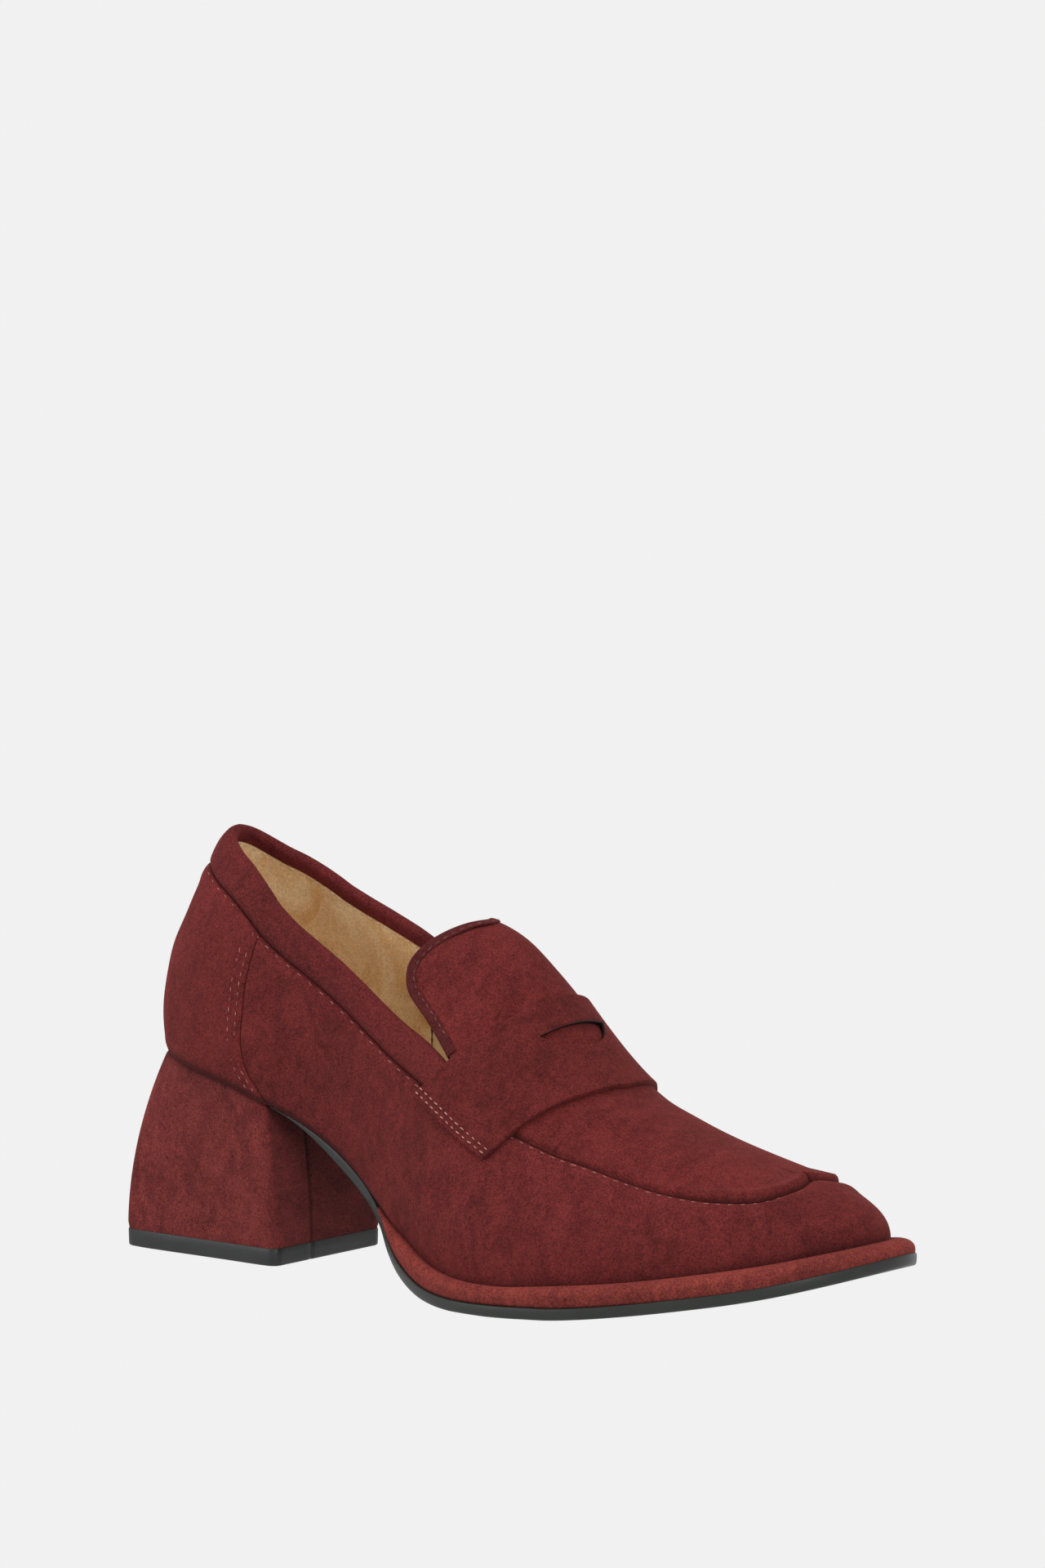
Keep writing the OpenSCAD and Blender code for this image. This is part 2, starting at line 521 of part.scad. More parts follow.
// ---------- heel ----------
breast = 51 * kx;
heel_back = -6 * kx;
// half outline at the floor: shares of heel length from the back and of half the width
HEEL_BASE = [
    [1, 0.88], [0.985, 0.955], [0.93, 1], [0.76, 0.98], [0.6, 0.96],
    [0.44, 0.945], [0.28, 0.93], [0.13, 0.9], [0.045, 0.82], [0.005, 0.5],
];
// where those points reach the feather edge, u; the first two stand on the breast
HEEL_TOP = [3.12, 3.12, 3, 2.72, 2.42, 2.12, 1.78, 1.4, 1, 0.5];
function heel_foot(i, side) = let (q = HEEL_BASE[i])
    [heel_back + q[0] * heel_length, -side * q[1] * heel_width / 2];
function heel_seat(i, side) =
    let (u = HEEL_TOP[i], w = side > 0 ? u : ROUND - u)
    i == 0 ? [breast, 0.86 * inward(w, 0.5)[1]] : inward(w, i == 1 ? 1.2 : 0.5);
function flare(t) = 1 - pow(t, 1.9);
// heel outline at share t of its height, pulled in by d
function heel_loop(t, d) =
    let (
        n = len(HEEL_BASE),
        feet = concat(
            [for (i = [0:n - 1]) heel_foot(i, -1)], [[heel_back, 0]],
            [for (i = [n - 1:-1:0]) heel_foot(i, 1)]),
        seats = concat(
            [for (i = [0:n - 1]) heel_seat(i, -1)], [inward(0, 0.5)],
            [for (i = [n - 1:-1:0]) heel_seat(i, 1)]),
        ring = [for (i = [0:len(feet) - 1]) mix(seats[i], feet[i], flare(t))], m = len(ring))
    [for (i = [0:m - 1])
        let (
            p = ring[i], a = ring[(i + m - 1) % m], b = ring[(i + 1) % m], s = unit(b - a),
            q = p + d * [-s[1], s[0]],
            z = mix(top_piece_thickness + 0.06, seat(p[0]) - 0.1, t))
        on(q, z)];
heel_steps = [0, 0.12, 0.3, 0.5, 0.68, 0.82, 0.92, 1];
module heel_cover() color("#6d2f30")
    tube([for (t = heel_steps) heel_loop(t, 0)], [for (t = heel_steps) heel_loop(t, heel_wrap)]);
module heel_core() color("#c9c2b2") difference() {
    loft([for (t = heel_steps) heel_loop(t, heel_wrap + 0.1)]);
    bores(4.6, 2);
    for (x = dowels) translate([x * kx, 0, -1]) cylinder(d = 4.2, h = 17, $fn = 16);
}
dowels = [12, 40];
module top_piece() color("#3a3a3a") difference() {
    loft([for (z = [0, top_piece_thickness]) [for (p = heel_loop(0, z > 0 ? 0.1 : 0.3)) on(p, z)]]);
    for (x = dowels) translate([x * kx, 0, top_piece_thickness * 0.45]) cylinder(d = 4.2, h = 17, $fn = 16);
}
module top_piece_dowels() color("#8f9194")
    for (x = dowels) translate([x * kx, 0, top_piece_thickness * 0.45 + 0.1])
        cylinder(d = 4, h = 15.5 - top_piece_thickness * 0.45, $fn = 16);

// ---------- placing ----------
outline = concat([for (u = sole_us) sole_edge(u)], [for (p = heel_loop(0, 0)) [p[0], p[1]]]);
middle_x = (max([for (p = outline) p[0]]) + min([for (p = outline) p[0]])) / 2;
middle_y = (max([for (p = outline) p[1]]) + min([for (p = outline) p[1]])) / 2;
module placed() translate([-middle_x, -middle_y, 0]) children();

placed() vamp();
placed() apron();
placed() tongue_binding();
placed() plug_lining();
placed() saddle_strap();
placed() counter_cover();
placed() collar_band();
placed() collar_foam();
placed() counter_stiffener();
placed() toe_puff();
placed() outer_side_interlining();
placed() inner_side_interlining();
placed() heel_grip_lining();
placed() vamp_lining();
placed() insole_board();
placed() heel_screw();
placed() heel_nails();
placed() sock_foam();
placed() sock_lining();
placed() steel_shank();
placed() bottom_filler();
placed() platform_core();
placed() rand_wrap();
placed() outsole();
placed() heel_core();
placed() heel_cover();
placed() top_piece();
placed() top_piece_dowels();
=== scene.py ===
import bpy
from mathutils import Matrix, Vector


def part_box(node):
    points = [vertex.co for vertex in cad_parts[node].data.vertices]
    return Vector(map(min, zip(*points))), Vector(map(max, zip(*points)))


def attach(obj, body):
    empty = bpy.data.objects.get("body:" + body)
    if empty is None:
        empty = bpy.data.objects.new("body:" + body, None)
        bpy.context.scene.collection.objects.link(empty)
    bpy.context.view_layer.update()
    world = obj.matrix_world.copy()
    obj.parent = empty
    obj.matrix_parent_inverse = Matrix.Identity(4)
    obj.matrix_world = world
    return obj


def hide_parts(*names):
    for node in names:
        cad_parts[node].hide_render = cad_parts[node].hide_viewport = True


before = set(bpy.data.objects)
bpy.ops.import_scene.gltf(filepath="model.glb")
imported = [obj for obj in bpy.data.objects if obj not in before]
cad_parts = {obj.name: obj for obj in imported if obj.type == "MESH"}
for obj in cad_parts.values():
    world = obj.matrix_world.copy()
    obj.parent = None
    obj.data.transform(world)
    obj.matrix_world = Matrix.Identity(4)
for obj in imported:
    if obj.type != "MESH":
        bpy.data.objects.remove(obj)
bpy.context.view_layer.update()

import math

import bmesh
import bpy
import numpy as np
from mathutils import Vector

print("stage: frame loaded,", len(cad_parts), "solids")

# ---- the last, in mm: one surface that every upper piece lies on ----
# u goes round the shoe (0 back of the heel, 11 toe, 22 back again by the inner side), v up it (0 feather
# edge, 1 ridge)
toe = 11
around = 22
# x, outer and inner half width of the feather edge, x of the ridge, rise and lean at the feather, flatness
# at the ridge
lastTable = [
    [0.0, 0.0, 0.0, 44.5, 27, 8, 12],
    [3.5, 14.0, 14.0, 45, 27, 9, 12],
    [23.0, 26.0, 25.0, 54, 28, 7, 11],
    [46.0, 28.0, 27.0, 68, 30, 6, 15],
    [77.5, 19.5, 17.5, 88, 32, 8, 22],
    [104.5, 30.0, 25.0, 110, 30, 8, 24],
    [134.0, 47.0, 38.0, 134, 27, 6, 24],
    [165.5, 44.0, 40.5, 162, 22, 5, 26],
    [192.0, 34.0, 39.5, 186, 18, 4, 26],
    [220.5, 25.0, 33.0, 202, 14, 3, 22],
    [233.0, 16.5, 23.0, 207, 12, 2, 20],
    [243.2, 0.0, 7.5, 207, 12, 2, 20],
]
seatLine = [
    [0, 53], [18, 50], [32, 47.5], [42, 45], [52, 41.5], [62, 37.5], [72, 32], [82, 25.3], [92, 17.8],
        [103, 10.5],
    [114, 5.5], [124, 2.2], [135, 0.4], [150, 0], [165, 1.3], [188, 3.9], [210, 7.8], [225, 11],
        [240, 14.8], [250, 17.6],
]
ridgeLine = [
    [30, 145], [52, 129], [66, 116], [86, 104], [100, 97.2], [112, 93.8], [122, 88], [133, 77.6],
        [145, 64.3],
    [158, 52.6], [170, 47], [185, 41.5], [205, 36.5], [225, 31],
]
swayLine = [[40, 0], [86, 1], [105, 4], [125, 4], [145, 2.5], [165, 1.5], [208, 3]]
platformLine = [
    [92, 0], [100, 0.6], [110, 2], [120, 2.4], [135, 1.9], [150, 1.6], [160, 2], [170, 2.6], [190, 2.6],
    [225, 3], [240, 2.8], [250, 2.2],
]
reachLine = [[88, 0], [96, 0.2], [104, 0.52], [114, 0.7], [150, 0.78], [175, 0.92], [200, 1], [250, 0.97]]
toplineOuter = [
    [0, 0.6], [0.9, 0.592], [1.9, 0.573], [2.5, 0.555], [3, 0.535], [3.5, 0.522], [4.2, 0.519], [5, 0.52],
        [5.5, 0.515],
]
toplineInner = [
    [0, 0.6], [0.9, 0.59], [1.8, 0.568], [2.4, 0.562], [3, 0.572], [3.5, 0.585], [4, 0.595], [5, 0.58],
        [5.5, 0.55],
]
bandLine = [[0, 0.1], [2, 0.1], [3, 0.105], [4, 0.108], [5, 0.098], [5.5, 0.09]]
apronLine = [
    [5.5, 0.436], [6, 0.475], [6.4, 0.513], [7, 0.548], [7.6, 0.54], [8.1, 0.52], [8.6, 0.514],
        [9.2, 0.552],
    [9.9, 0.662], [10.7, 0.765], [11, 0.78],
]
counterLine = [[0, 3.2], [0.035, 3.1], [0.08, 2.99], [0.145, 2.92], [0.23, 2.88], [0.32, 2.83],
    [0.45, 2.79]]
tongueLine = [
    [4.28, 0.96], [4.3, 0.93], [4.36, 0.84], [4.42, 0.78], [4.5, 0.72], [4.6, 0.665], [4.65, 0.63],
        [4.7, 0.608],
    [4.9, 0.585], [5.2, 0.558], [5.5, 0.53],
]
strapRearLine = [[0.395, 5.19], [0.46, 5.36], [0.53, 5.51], [0.64, 5.74], [0.73, 5.86], [0.82, 5.95],
    [0.9, 6], [1, 6.02]]
strapFrontLine = [
    [0.395, 6.19], [0.46, 6.31], [0.53, 6.41], [0.64, 6.55], [0.73, 6.67], [0.82, 6.77], [0.9, 6.84],
        [1, 6.9],
]
leather = {  # mm
    "suede": 1.2, "stiffener": 0.9, "lining": 0.9, "gap": 0.12, "turnIn": 4.5, "throat": 5.5,
        "liningSeam": 4.05,
    "sole": 3.3, "randReach": 7.2, "randRise": 2.4, "insole": 2, "sockFoam": 2, "sock": 1,
}
inner1 = -(leather["suede"] + leather["gap"])
inner3 = inner1 - leather["stiffener"] - leather["gap"]
inner4 = inner3 - leather["lining"]
collarRoll = (-inner4 + 0.36) / 2
ground = leather["sole"] + 1.7


def unit(p):
    return p / np.maximum(np.linalg.norm(p, axis=-1, keepdims=True), 1e-9)


def mix(a, b, t):
    return a + (b - a) * t


def smooth(x, a, b):
    t = np.clip((x - a) / (b - a), 0, 1)
    return t * t * (3 - 2 * t)


def hump(d, middle, width):
    return np.exp(-(((d - middle) / width) ** 2))


def curve(table, x):  # smooth through a table, straight beyond its ends
    t = np.asarray(table, float)
    xs, ys = t[:, 0], t[:, 1]
    n = len(xs)
    k = np.arange(n)
    before, after = np.maximum(k - 1, 0), np.minimum(k + 1, n - 1)
    slope = (ys[after] - ys[before]) / (xs[after] - xs[before])
    x = np.asarray(x, float)
    i = np.clip(np.searchsorted(xs, x, side="right") - 1, 0, n - 2)
    h = xs[i + 1] - xs[i]
    s = (x - xs[i]) / h
    inside = (
        (2 * s**3 - 3 * s**2 + 1) * ys[i] + (s**3 - 2 * s**2 + s) * h * slope[i]
        + (3 * s**2 - 2 * s**3) * ys[i + 1] + (s**3 - s**2) * h * slope[i + 1]
    )
    low = ys[0] + slope[0] * (x - xs[0])
    high = ys[-1] + slope[-1] * (x - xs[-1])
    return np.where(s < 0, low, np.where(s > 1, high, inside))


outerRows = [[s[0], -s[1], *s[3:]] for s in lastTable]
outerRows[toe][1] = lastTable[toe][2]  # the toe row sits a little to the inner side
lastRows = np.array(outerRows + [[s[0], s[2], *s[3:]] for s in lastTable[toe - 1:0:-1]])


def row(u):  # closed uniform cubic spline through the rows
    u = np.asarray(u, float)
    i = np.floor(u).astype(int)
    f = (u - i)[..., None]
    weights = [(1 - f) ** 3, 3 * f**3 - 6 * f**2 + 4, -3 * f**3 + 3 * f**2 + 3 * f + 1, f**3]
    return sum(w * lastRows[(i - 1 + k) % around] for k, w in enumerate(weights)) / 6


def seat(x):
    return ground + curve(seatLine, x)


def lean(x):
    return np.sqrt(1 + ((seat(x + 1) - seat(x - 1)) / 2) ** 2)


def ridge(x):
    return seat(x) + curve(ridgeLine, x) - curve(seatLine, x)


def section(u):  # foot, two handles and ridge of the upright section at u
    r = row(u)
    foot = r[..., :2]
    top = np.stack([r[..., 2], curve(swayLine, r[..., 2])], -1)
    d = unit(foot - top)
    rise = (ridge(r[..., 2] + 1) - ridge(r[..., 2] - 1)) / 2
    a = np.concatenate([foot, seat(foot[..., 0])[..., None]], -1)
    b = np.concatenate([top, ridge(top[..., 0])[..., None]], -1)
    up = np.concatenate([r[..., 4:5] * d, r[..., 3:4]], -1)
    flat = r[..., 5:6] * np.concatenate([d, rise[..., None] * d[..., :1]], -1)
    return a, a + up, b + flat, b


def bend(s, v):
    v = v[..., None]
    return (1 - v) ** 3 * s[0] + 3 * v * (1 - v) ** 2 * s[1] + 3 * v * v * (1 - v) * s[2] + v**3 * s[3]


def skin(u, v):
    u, v = np.broadcast_arrays(np.asarray(u, float), np.asarray(v, float))
    return bend(section(u), v)


def sideNormal(u, v):
    w = np.minimum(v, 0.97)
    s, t = section(u), section(u + 0.02)
    p = bend(s, w)
    return unit(np.cross(bend(t, w) - p, bend(s, w + 0.02) - p))


def outward(u, v):  # the two sides share one normal on the ridge
    u, v = np.broadcast_arrays(np.asarray(u, float), np.asarray(v, float))
    own = sideNormal(u, v)
    share = smooth(v, 0.86, 1)[..., None]
    both = unit(sideNormal(u, np.full_like(v, 0.97)) + sideNormal(around - u, np.full_like(v, 0.97)))
    return unit(mix(own, both, share))


def off(u, v, h):
    u, v = np.broadcast_arrays(np.asarray(u, float), np.asarray(v, float))
    h = np.asarray(h, float)
    return skin(u, v) + (h if h.ndim == 0 else h[..., None]) * outward(u, v)


def rateV(u, v):  # mm for one unit of v
    return np.linalg.norm(skin(u, v + 0.01) - skin(u, v - 0.01), axis=-1) / 0.02


def rateU(u, v):
    return np.linalg.norm(skin(u + 0.01, v) - skin(u - 0.01, v), axis=-1) / 0.02


# ---- seams on the last ----
def away(u):
    return np.where(u > toe, u - around, u)


def fold(u):
    return np.abs(away(np.asarray(u, float)))


def topline(u):
    a = away(np.asarray(u, float))
    return np.where(a >= 0, curve(toplineOuter, a), curve(toplineInner, -a))


def seam(u):
    return np.where(fold(u) > leather["throat"], curve(apronLine, fold(u)),
        topline(u) - curve(bandLine, fold(u)))


def tongueEdge(u):
    return curve(tongueLine, fold(u))


def cutRound(u, v):  # the tongue's end is cut round: its grid is drawn forward over the ridge
    t = np.clip((v - 0.665) / 0.335, 0, 1)
    d = 0.67 * (1 - (1 - t) ** 1.4) * np.maximum(0, 1 - (fold(u) - 4.28) / 1.4)
    return np.where(u > toe, u - d, u + d)


def plugLow(u):
    return np.where(fold(u) < leather["throat"], tongueEdge(u), seam(u)) + 0.0015


def inward(u, d):  # feather edge moved in by d mm, square to the edge
    r, s = row(u), row(np.asarray(u, float) + 0.02)
    t = unit(s[..., :2] - r[..., :2])
    n = np.stack([-t[..., 1], t[..., 0]], -1)
    top = np.stack([r[..., 2], curve(swayLine, r[..., 2])], -1)
    k = unit(top - r[..., :2])
    across = np.maximum(0.6, np.sum(n * k, -1))
    return r[..., :2] + k * (np.asarray(d, float) / across)[..., None]


def on(p, z):
    return np.concatenate([p, np.broadcast_to(np.asarray(z, float), p.shape[:-1])[..., None]], -1)


def level(p, t):  # t mm over the feather edge, square to the bottom
    return on(p, seat(p[..., 0]) + t * lean(p[..., 0]))


def reach(x):
    return np.maximum(0, curve(reachLine, x)) * (x >= 88) * leather["randReach"]


def soleTop(x):
    return seat(x) - np.maximum(0, curve(platformLine, x)) * (x >= 92) - 0.1


def soleBottom(x):
    return np.maximum(0, soleTop(x) - leather["sole"] * lean(x))


def soleEdge(u, d):
    u = np.asarray(u, float)
    return inward(u, 0.3 + d - reach(row(u)[..., 0]))


# the frame's own boxes say where the last stands
soleRing = soleEdge(np.linspace(3.22, around - 3.22, 600), 0)
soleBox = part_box("outsole")
shift = np.array([soleRing[:, 0].max() - soleBox[1].x * 1000, soleRing[:, 1].max() - soleBox[1].y * 1000,
    0])


def place(points):
    return (np.asarray(points) - shift) / 1000


# ---- mesh making ----
def evenSteps(path, a, b, step):  # values from a to b that are about step mm apart along path
    t = np.linspace(a, b, 1200)
    p = path(t)
    run = np.concatenate([[0], np.cumsum(np.linalg.norm(np.diff(p, axis=0), axis=1))])
    return np.interp(np.linspace(0, run[-1], max(3, int(round(run[-1] / step)) + 1)), run, t)


def addMesh(name, points, faces, finish, sharp=38, marks=None, faceFinish=None):
    mesh = bpy.data.meshes.new(name)
    mesh.from_pydata(place(points).tolist(), [], faces)
    for kind in finish if isinstance(finish, list) else [finish]:
        mesh.materials.append(kind)
    if faceFinish is not None:
        mesh.polygons.foreach_set("material_index", np.asarray(faceFinish, np.int32))
    for key, values in (marks or {}).items():
        mesh.attributes.new(key, "FLOAT", "POINT").data.foreach_set("value", np.asarray(values, np.float32))
    piece = bpy.data.objects.new(name, mesh)
    bpy.context.scene.collection.objects.link(piece)
    work = bmesh.new()
    work.from_mesh(mesh)
    bmesh.ops.remove_doubles(work, verts=work.verts, dist=0.00001)
    bmesh.ops.dissolve_degenerate(work, edges=work.edges, dist=0.000005)
    bmesh.ops.recalc_face_normals(work, faces=work.faces)
    if work.calc_volume(signed=True) < 0:
        bmesh.ops.reverse_faces(work, faces=work.faces)
    work.to_mesh(mesh)
    work.free()
    mesh.shade_smooth()
    mesh.set_sharp_from_angle(angle=math.radians(sharp))
    return piece


def gridFaces(rows, cols, start=0, turn=False):
    k, i = np.meshgrid(np.arange(rows - 1), np.arange(cols - 1), indexing="ij")
    a = (start + k * cols + i).ravel()
    quads = np.stack([a, a + 1, a + cols + 1, a + cols], 1)
    return (quads[:, ::-1] if turn else quads).tolist()


def sheetPiece(name, face, back, finish, marks=None, **more):  # closed sheet between two grids of points
    rows, cols = face.shape[:2]
    size = rows * cols
    border = (
        list(range(cols)) + [k * cols + cols - 1 for k in range(1, rows)]
        + [(rows - 1) * cols + i for i in range(cols - 2, -1, -1)] + [
            k * cols for k in range(rows - 2, 0, -1)]
    )
    rim = [[a, size + a, size + b, b] for a, b in zip(border, border[1:] + border[:1])]
    faces = gridFaces(rows, cols) + gridFaces(rows, cols, size, True) + rim
    points = np.concatenate([face.reshape(-1, 3), back.reshape(-1, 3)])
    both = {key: np.concatenate([value.ravel(), value.ravel()]) for key, value in (marks or {}).items()}
    return addMesh(name, points, faces, finish, marks=both, **more)


def stripCap(n, start, up):  # a closed ring's lid, in strips from point i to point n - 1 - i
    faces = []
    for i in range(n // 2 - 1):
        quad = [start + i, start + i + 1, start + n - 2 - i, start + n - 1 - i]
        faces.append(quad if up else quad[::-1])
    if n % 2:
        h = n // 2
        tip = [start + h - 1, start + h, start + h + 1]
        faces.append(tip if up else tip[::-1])
    return faces


def loftPiece(name, loops, finish, caps=True, marks=None, **more):  # closed rings joined one to the next
    loops = np.asarray(loops)
    m, n = loops.shape[:2]
    k, i = np.meshgrid(np.arange(m - 1), np.arange(n), indexing="ij")
    a, b = (k * n + i).ravel(), (k * n + (i + 1) % n).ravel()
    faces = np.stack([a, b, b + n, a + n], 1).tolist()
    if caps:
        faces += stripCap(n, 0, False) + stripCap(n, (m - 1) * n, True)
    return addMesh(name, loops.reshape(-1, 3), faces, finish, marks=marks, **more)


def settle(piece, node, slotName, *others):
    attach(piece, "root")
    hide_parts(node, *others)
    return piece


folds = {"seed": 7, "count": 9, "from": 14, "to": 46, "height": 0.16}  # mm
foldDice = np.random.default_rng(folds["seed"])
foldWaves = []
for _ in range(folds["count"]):
    heading = foldDice.normal(size=3) * [0.6, 1, 1.2]
    heading = heading / np.linalg.norm(heading) * 2 * math.pi / foldDice.uniform(folds["from"], folds["to"])
    foldWaves.append((heading, foldDice.uniform(0, 2 * math.pi)))


def softFolds(points):  # the slow waves that lasted leather keeps
    return folds["height"] * sum(np.sin(points @ k + phase) for k, phase in foldWaves) / 2


# ---- materials ----
def toLinear(code):
    values = [int(code[i:i + 2], 16) / 255 for i in (1, 3, 5)]
    return (*[c / 12.92 if c <= 0.04045 else ((c + 0.055) / 1.055) ** 2.4 for c in values], 1)


def addNode(tree, kind, settings=None, links=None):
    node = tree.nodes.new(kind)
    for key, value in (settings or {}).items():
        if isinstance(key, str) and hasattr(node, key):
            setattr(node, key, value)
        else:
            node.inputs[key].default_value = value
    for key, source in (links or {}).items():
        tree.links.new(source, node.inputs[key])
    return node


def newMaterial(name, shader):
    material = bpy.data.materials.new(name)
    material.use_nodes = True
    tree = material.node_tree
    tree.nodes.clear()
    surface = addNode(tree, "ShaderNodeBsdfPrincipled", shader)
    addNode(tree, "ShaderNodeOutputMaterial", links={"Surface": surface.outputs["BSDF"]})
    where = addNode(tree, "ShaderNodeTexCoord").outputs["Object"]
    return material, tree, surface, where


def noise(tree, where, size, stretch=(1, 1, 1), turn=(0, 0, 0), detail=2.0, rough=0.5, warp=0.0, start=0.0):
    # size is the width of one spot in mm; the mapping turns metres to mm
    mapped = addNode(tree, "ShaderNodeMapping", {
        "Scale": [1000 * s for s in stretch], "Rotation": turn, "Location": (start, start * 1.7, -start)},
            {"Vector": where})
    return addNode(tree, "ShaderNodeTexNoise", {
        "Scale": 1 / size, "Detail": detail, "Roughness": rough, "Distortion": warp},
        {"Vector": mapped.outputs["Vector"]}).outputs["Fac"]


def ramp(tree, source, low, high):  # 0 below low, 1 above high
    return addNode(tree, "ShaderNodeMapRange", {
        "interpolation_type": "SMOOTHSTEP", "From Min": low, "From Max": high, "To Min": 0.0,
            "To Max": 1.0},
        {"Value": source}).outputs["Result"]


def blendColour(tree, share, a, b, kind="MIX"):  # a and b are hex values or sockets
    node = addNode(tree, "ShaderNodeMix", {"data_type": "RGBA", "blend_type": kind})
    for index, value in ((6, a), (7, b)):
        if isinstance(value, str):
            node.inputs[index].default_value = toLinear(value)
        else:
            tree.links.new(value, node.inputs[index])
    if isinstance(share, float):
        node.inputs[0].default_value = share
    else:
        tree.links.new(share, node.inputs[0])
    return node.outputs[2]


def scaled(tree, source, factor):
    return addNode(tree, "ShaderNodeMath", {"operation": "MULTIPLY", 1: factor},
        {0: source}).outputs["Value"]


def bumps(tree, surface, layers):  # layers of (height source, depth in mm, strength)
    normal = None
    for height, depth, strength in layers:
        links = {"Height": height}
        if normal is not None:
            links["Normal"] = normal
        normal = addNode(tree, "ShaderNodeBump", {"Strength": strength, "Distance": depth / 1000},
            links).outputs["Normal"]
    tree.links.new(normal, surface.inputs["Normal"])


# Calf suede, dyed and brushed: short nap that lies in patches, darker where it is stroked away from the eye
suedeSet = {
    "dark": "#300f12", "body": "#5a1d20", "light": "#80322f", "bloom": "#8c3830",
    "patch": 19, "stroke": 7, "fleck": 2.2, "speck": 0.95, "grain": 0.5,
}


def brushedSuede(name, **changes):
    s = {**suedeSet, "start": 0.0, "contrast": 1.0, **changes}
    material, tree, surface, where = newMaterial(name, {
        "Roughness": 0.95, "Specular IOR Level": 0.18, "IOR": 1.45,
        "Sheen Weight": 0.32, "Sheen Roughness": 0.42, "Sheen Tint": toLinear("#b85248")})
    patch = ramp(tree, noise(tree, where, s["patch"], detail=3.0, rough=0.55, warp=0.6, start=s["start"]),
        0.34, 0.68)
    stroke = ramp(tree, noise(
        tree, where, s["stroke"], (1, 0.45, 0.6), (0.3, 0.5, 0.6), 4.0, 0.62, 1.2, s["start"] + 31), 0.3,
            0.72)
    fleck = ramp(tree, noise(tree, where, s["fleck"], detail=4.0, rough=0.7, start=s["start"]), 0.28, 0.74)
    # real nap is 0.2 mm, drawn coarser so that it shows
    grain = noise(tree, where, s["grain"], detail=3.0, rough=0.75)
    fine = ramp(tree, grain, 0.33, 0.67)
    colour = blendColour(tree, patch, s["dark"], s["body"])
    colour = blendColour(tree, 0.62, colour, s["body"])
    colour = blendColour(tree, scaled(tree, stroke, 0.42 * s["contrast"]), colour, s["light"])
    colour = blendColour(tree, scaled(tree, fleck, 0.2), colour, s["bloom"])
    dim = addNode(tree, "ShaderNodeMapRange", {"To Min": 0.58, "To Max": 1.42},
        {"Value": fine}).outputs["Result"]
    colour = blendColour(tree, 1.0, colour, dim, "MULTIPLY")
    # nap that stands or lies in dots
    speck = noise(tree, where, s["speck"], detail=2.0, rough=0.6, start=s["start"] + 9)
    colour = blendColour(tree, scaled(tree, ramp(tree, speck, 0.6, 0.72), 0.45), colour, s["light"])
    colour = blendColour(tree, scaled(tree, ramp(tree, speck, 0.4, 0.28), 0.55), colour, s["dark"])
    # painted shade: the crease attribute darkens the suede towards #220c0e in seams, grooves and joins
    # where shade falls
    crease = addNode(tree, "ShaderNodeAttribute", {"attribute_name": "crease"}).outputs["Fac"]
    colour = blendColour(tree, scaled(tree, crease, 0.8), colour, "#220c0e")
    tree.links.new(colour, surface.inputs["Base Color"])
    bumps(tree, surface, [(fleck, 0.25, 0.25), (grain, 0.22, 0.55)])
    return material


# Edge of cut leather, painted dark: slightly glossy and a little uneven
def paintedEdge(name):
    material, tree, surface, where = newMaterial(name, {"Roughness": 0.55, "Specular IOR Level": 0.4})
    spots = noise(tree, where, 1.6, detail=4.0, rough=0.7)
    tree.links.new(blendColour(tree, spots, "#14090a", "#361a1a"), surface.inputs["Base Color"])
    bumps(tree, surface, [(spots, 0.1, 0.4)])
    return material


# Pigskin lining, smooth side out: pores in threes, waxy, light creases darkened by painted shade from the
# crease attribute
def pigskin(name, tones):
    material, tree, surface, where = newMaterial(name, {
        "Roughness": 0.5, "Specular IOR Level": 0.35, "Sheen Weight": 0.08,
            "Sheen Tint": toLinear("#f0d8b0")})
    cloud = ramp(tree, noise(tree, where, 20, detail=3.0, rough=0.6), 0.35, 0.7)
    fine = noise(tree, where, 1.1, detail=4.0, rough=0.7)
    mapped = addNode(tree, "ShaderNodeMapping", {"Scale": (1000, 1000, 1000)}, {"Vector": where})
    pores = addNode(tree, "ShaderNodeTexVoronoi", {"Scale": 1 / 1.5, "Randomness": 1.0},
        {"Vector": mapped.outputs["Vector"]})
    pit = ramp(tree, pores.outputs["Distance"], 0.02, 0.22)
    colour = blendColour(tree, cloud, tones[0], tones[1])
    colour = blendColour(tree, scaled(tree, fine, 0.25), colour, tones[2])
    colour = blendColour(tree, pit, blendColour(tree, 0.35, colour, tones[3]), colour)
    # painted shade: the crease attribute darkens the lining towards #6b4423 deep in the shoe and along its
    # seam
    crease = addNode(tree, "ShaderNodeAttribute", {"attribute_name": "crease"}).outputs["Fac"]
    colour = blendColour(tree, scaled(tree, crease, 0.6), colour, "#6b4423")
    tree.links.new(colour, surface.inputs["Base Color"])
    bumps(tree, surface, [(pit, 0.12, 0.3), (fine, 0.15, 0.35)])
    return material


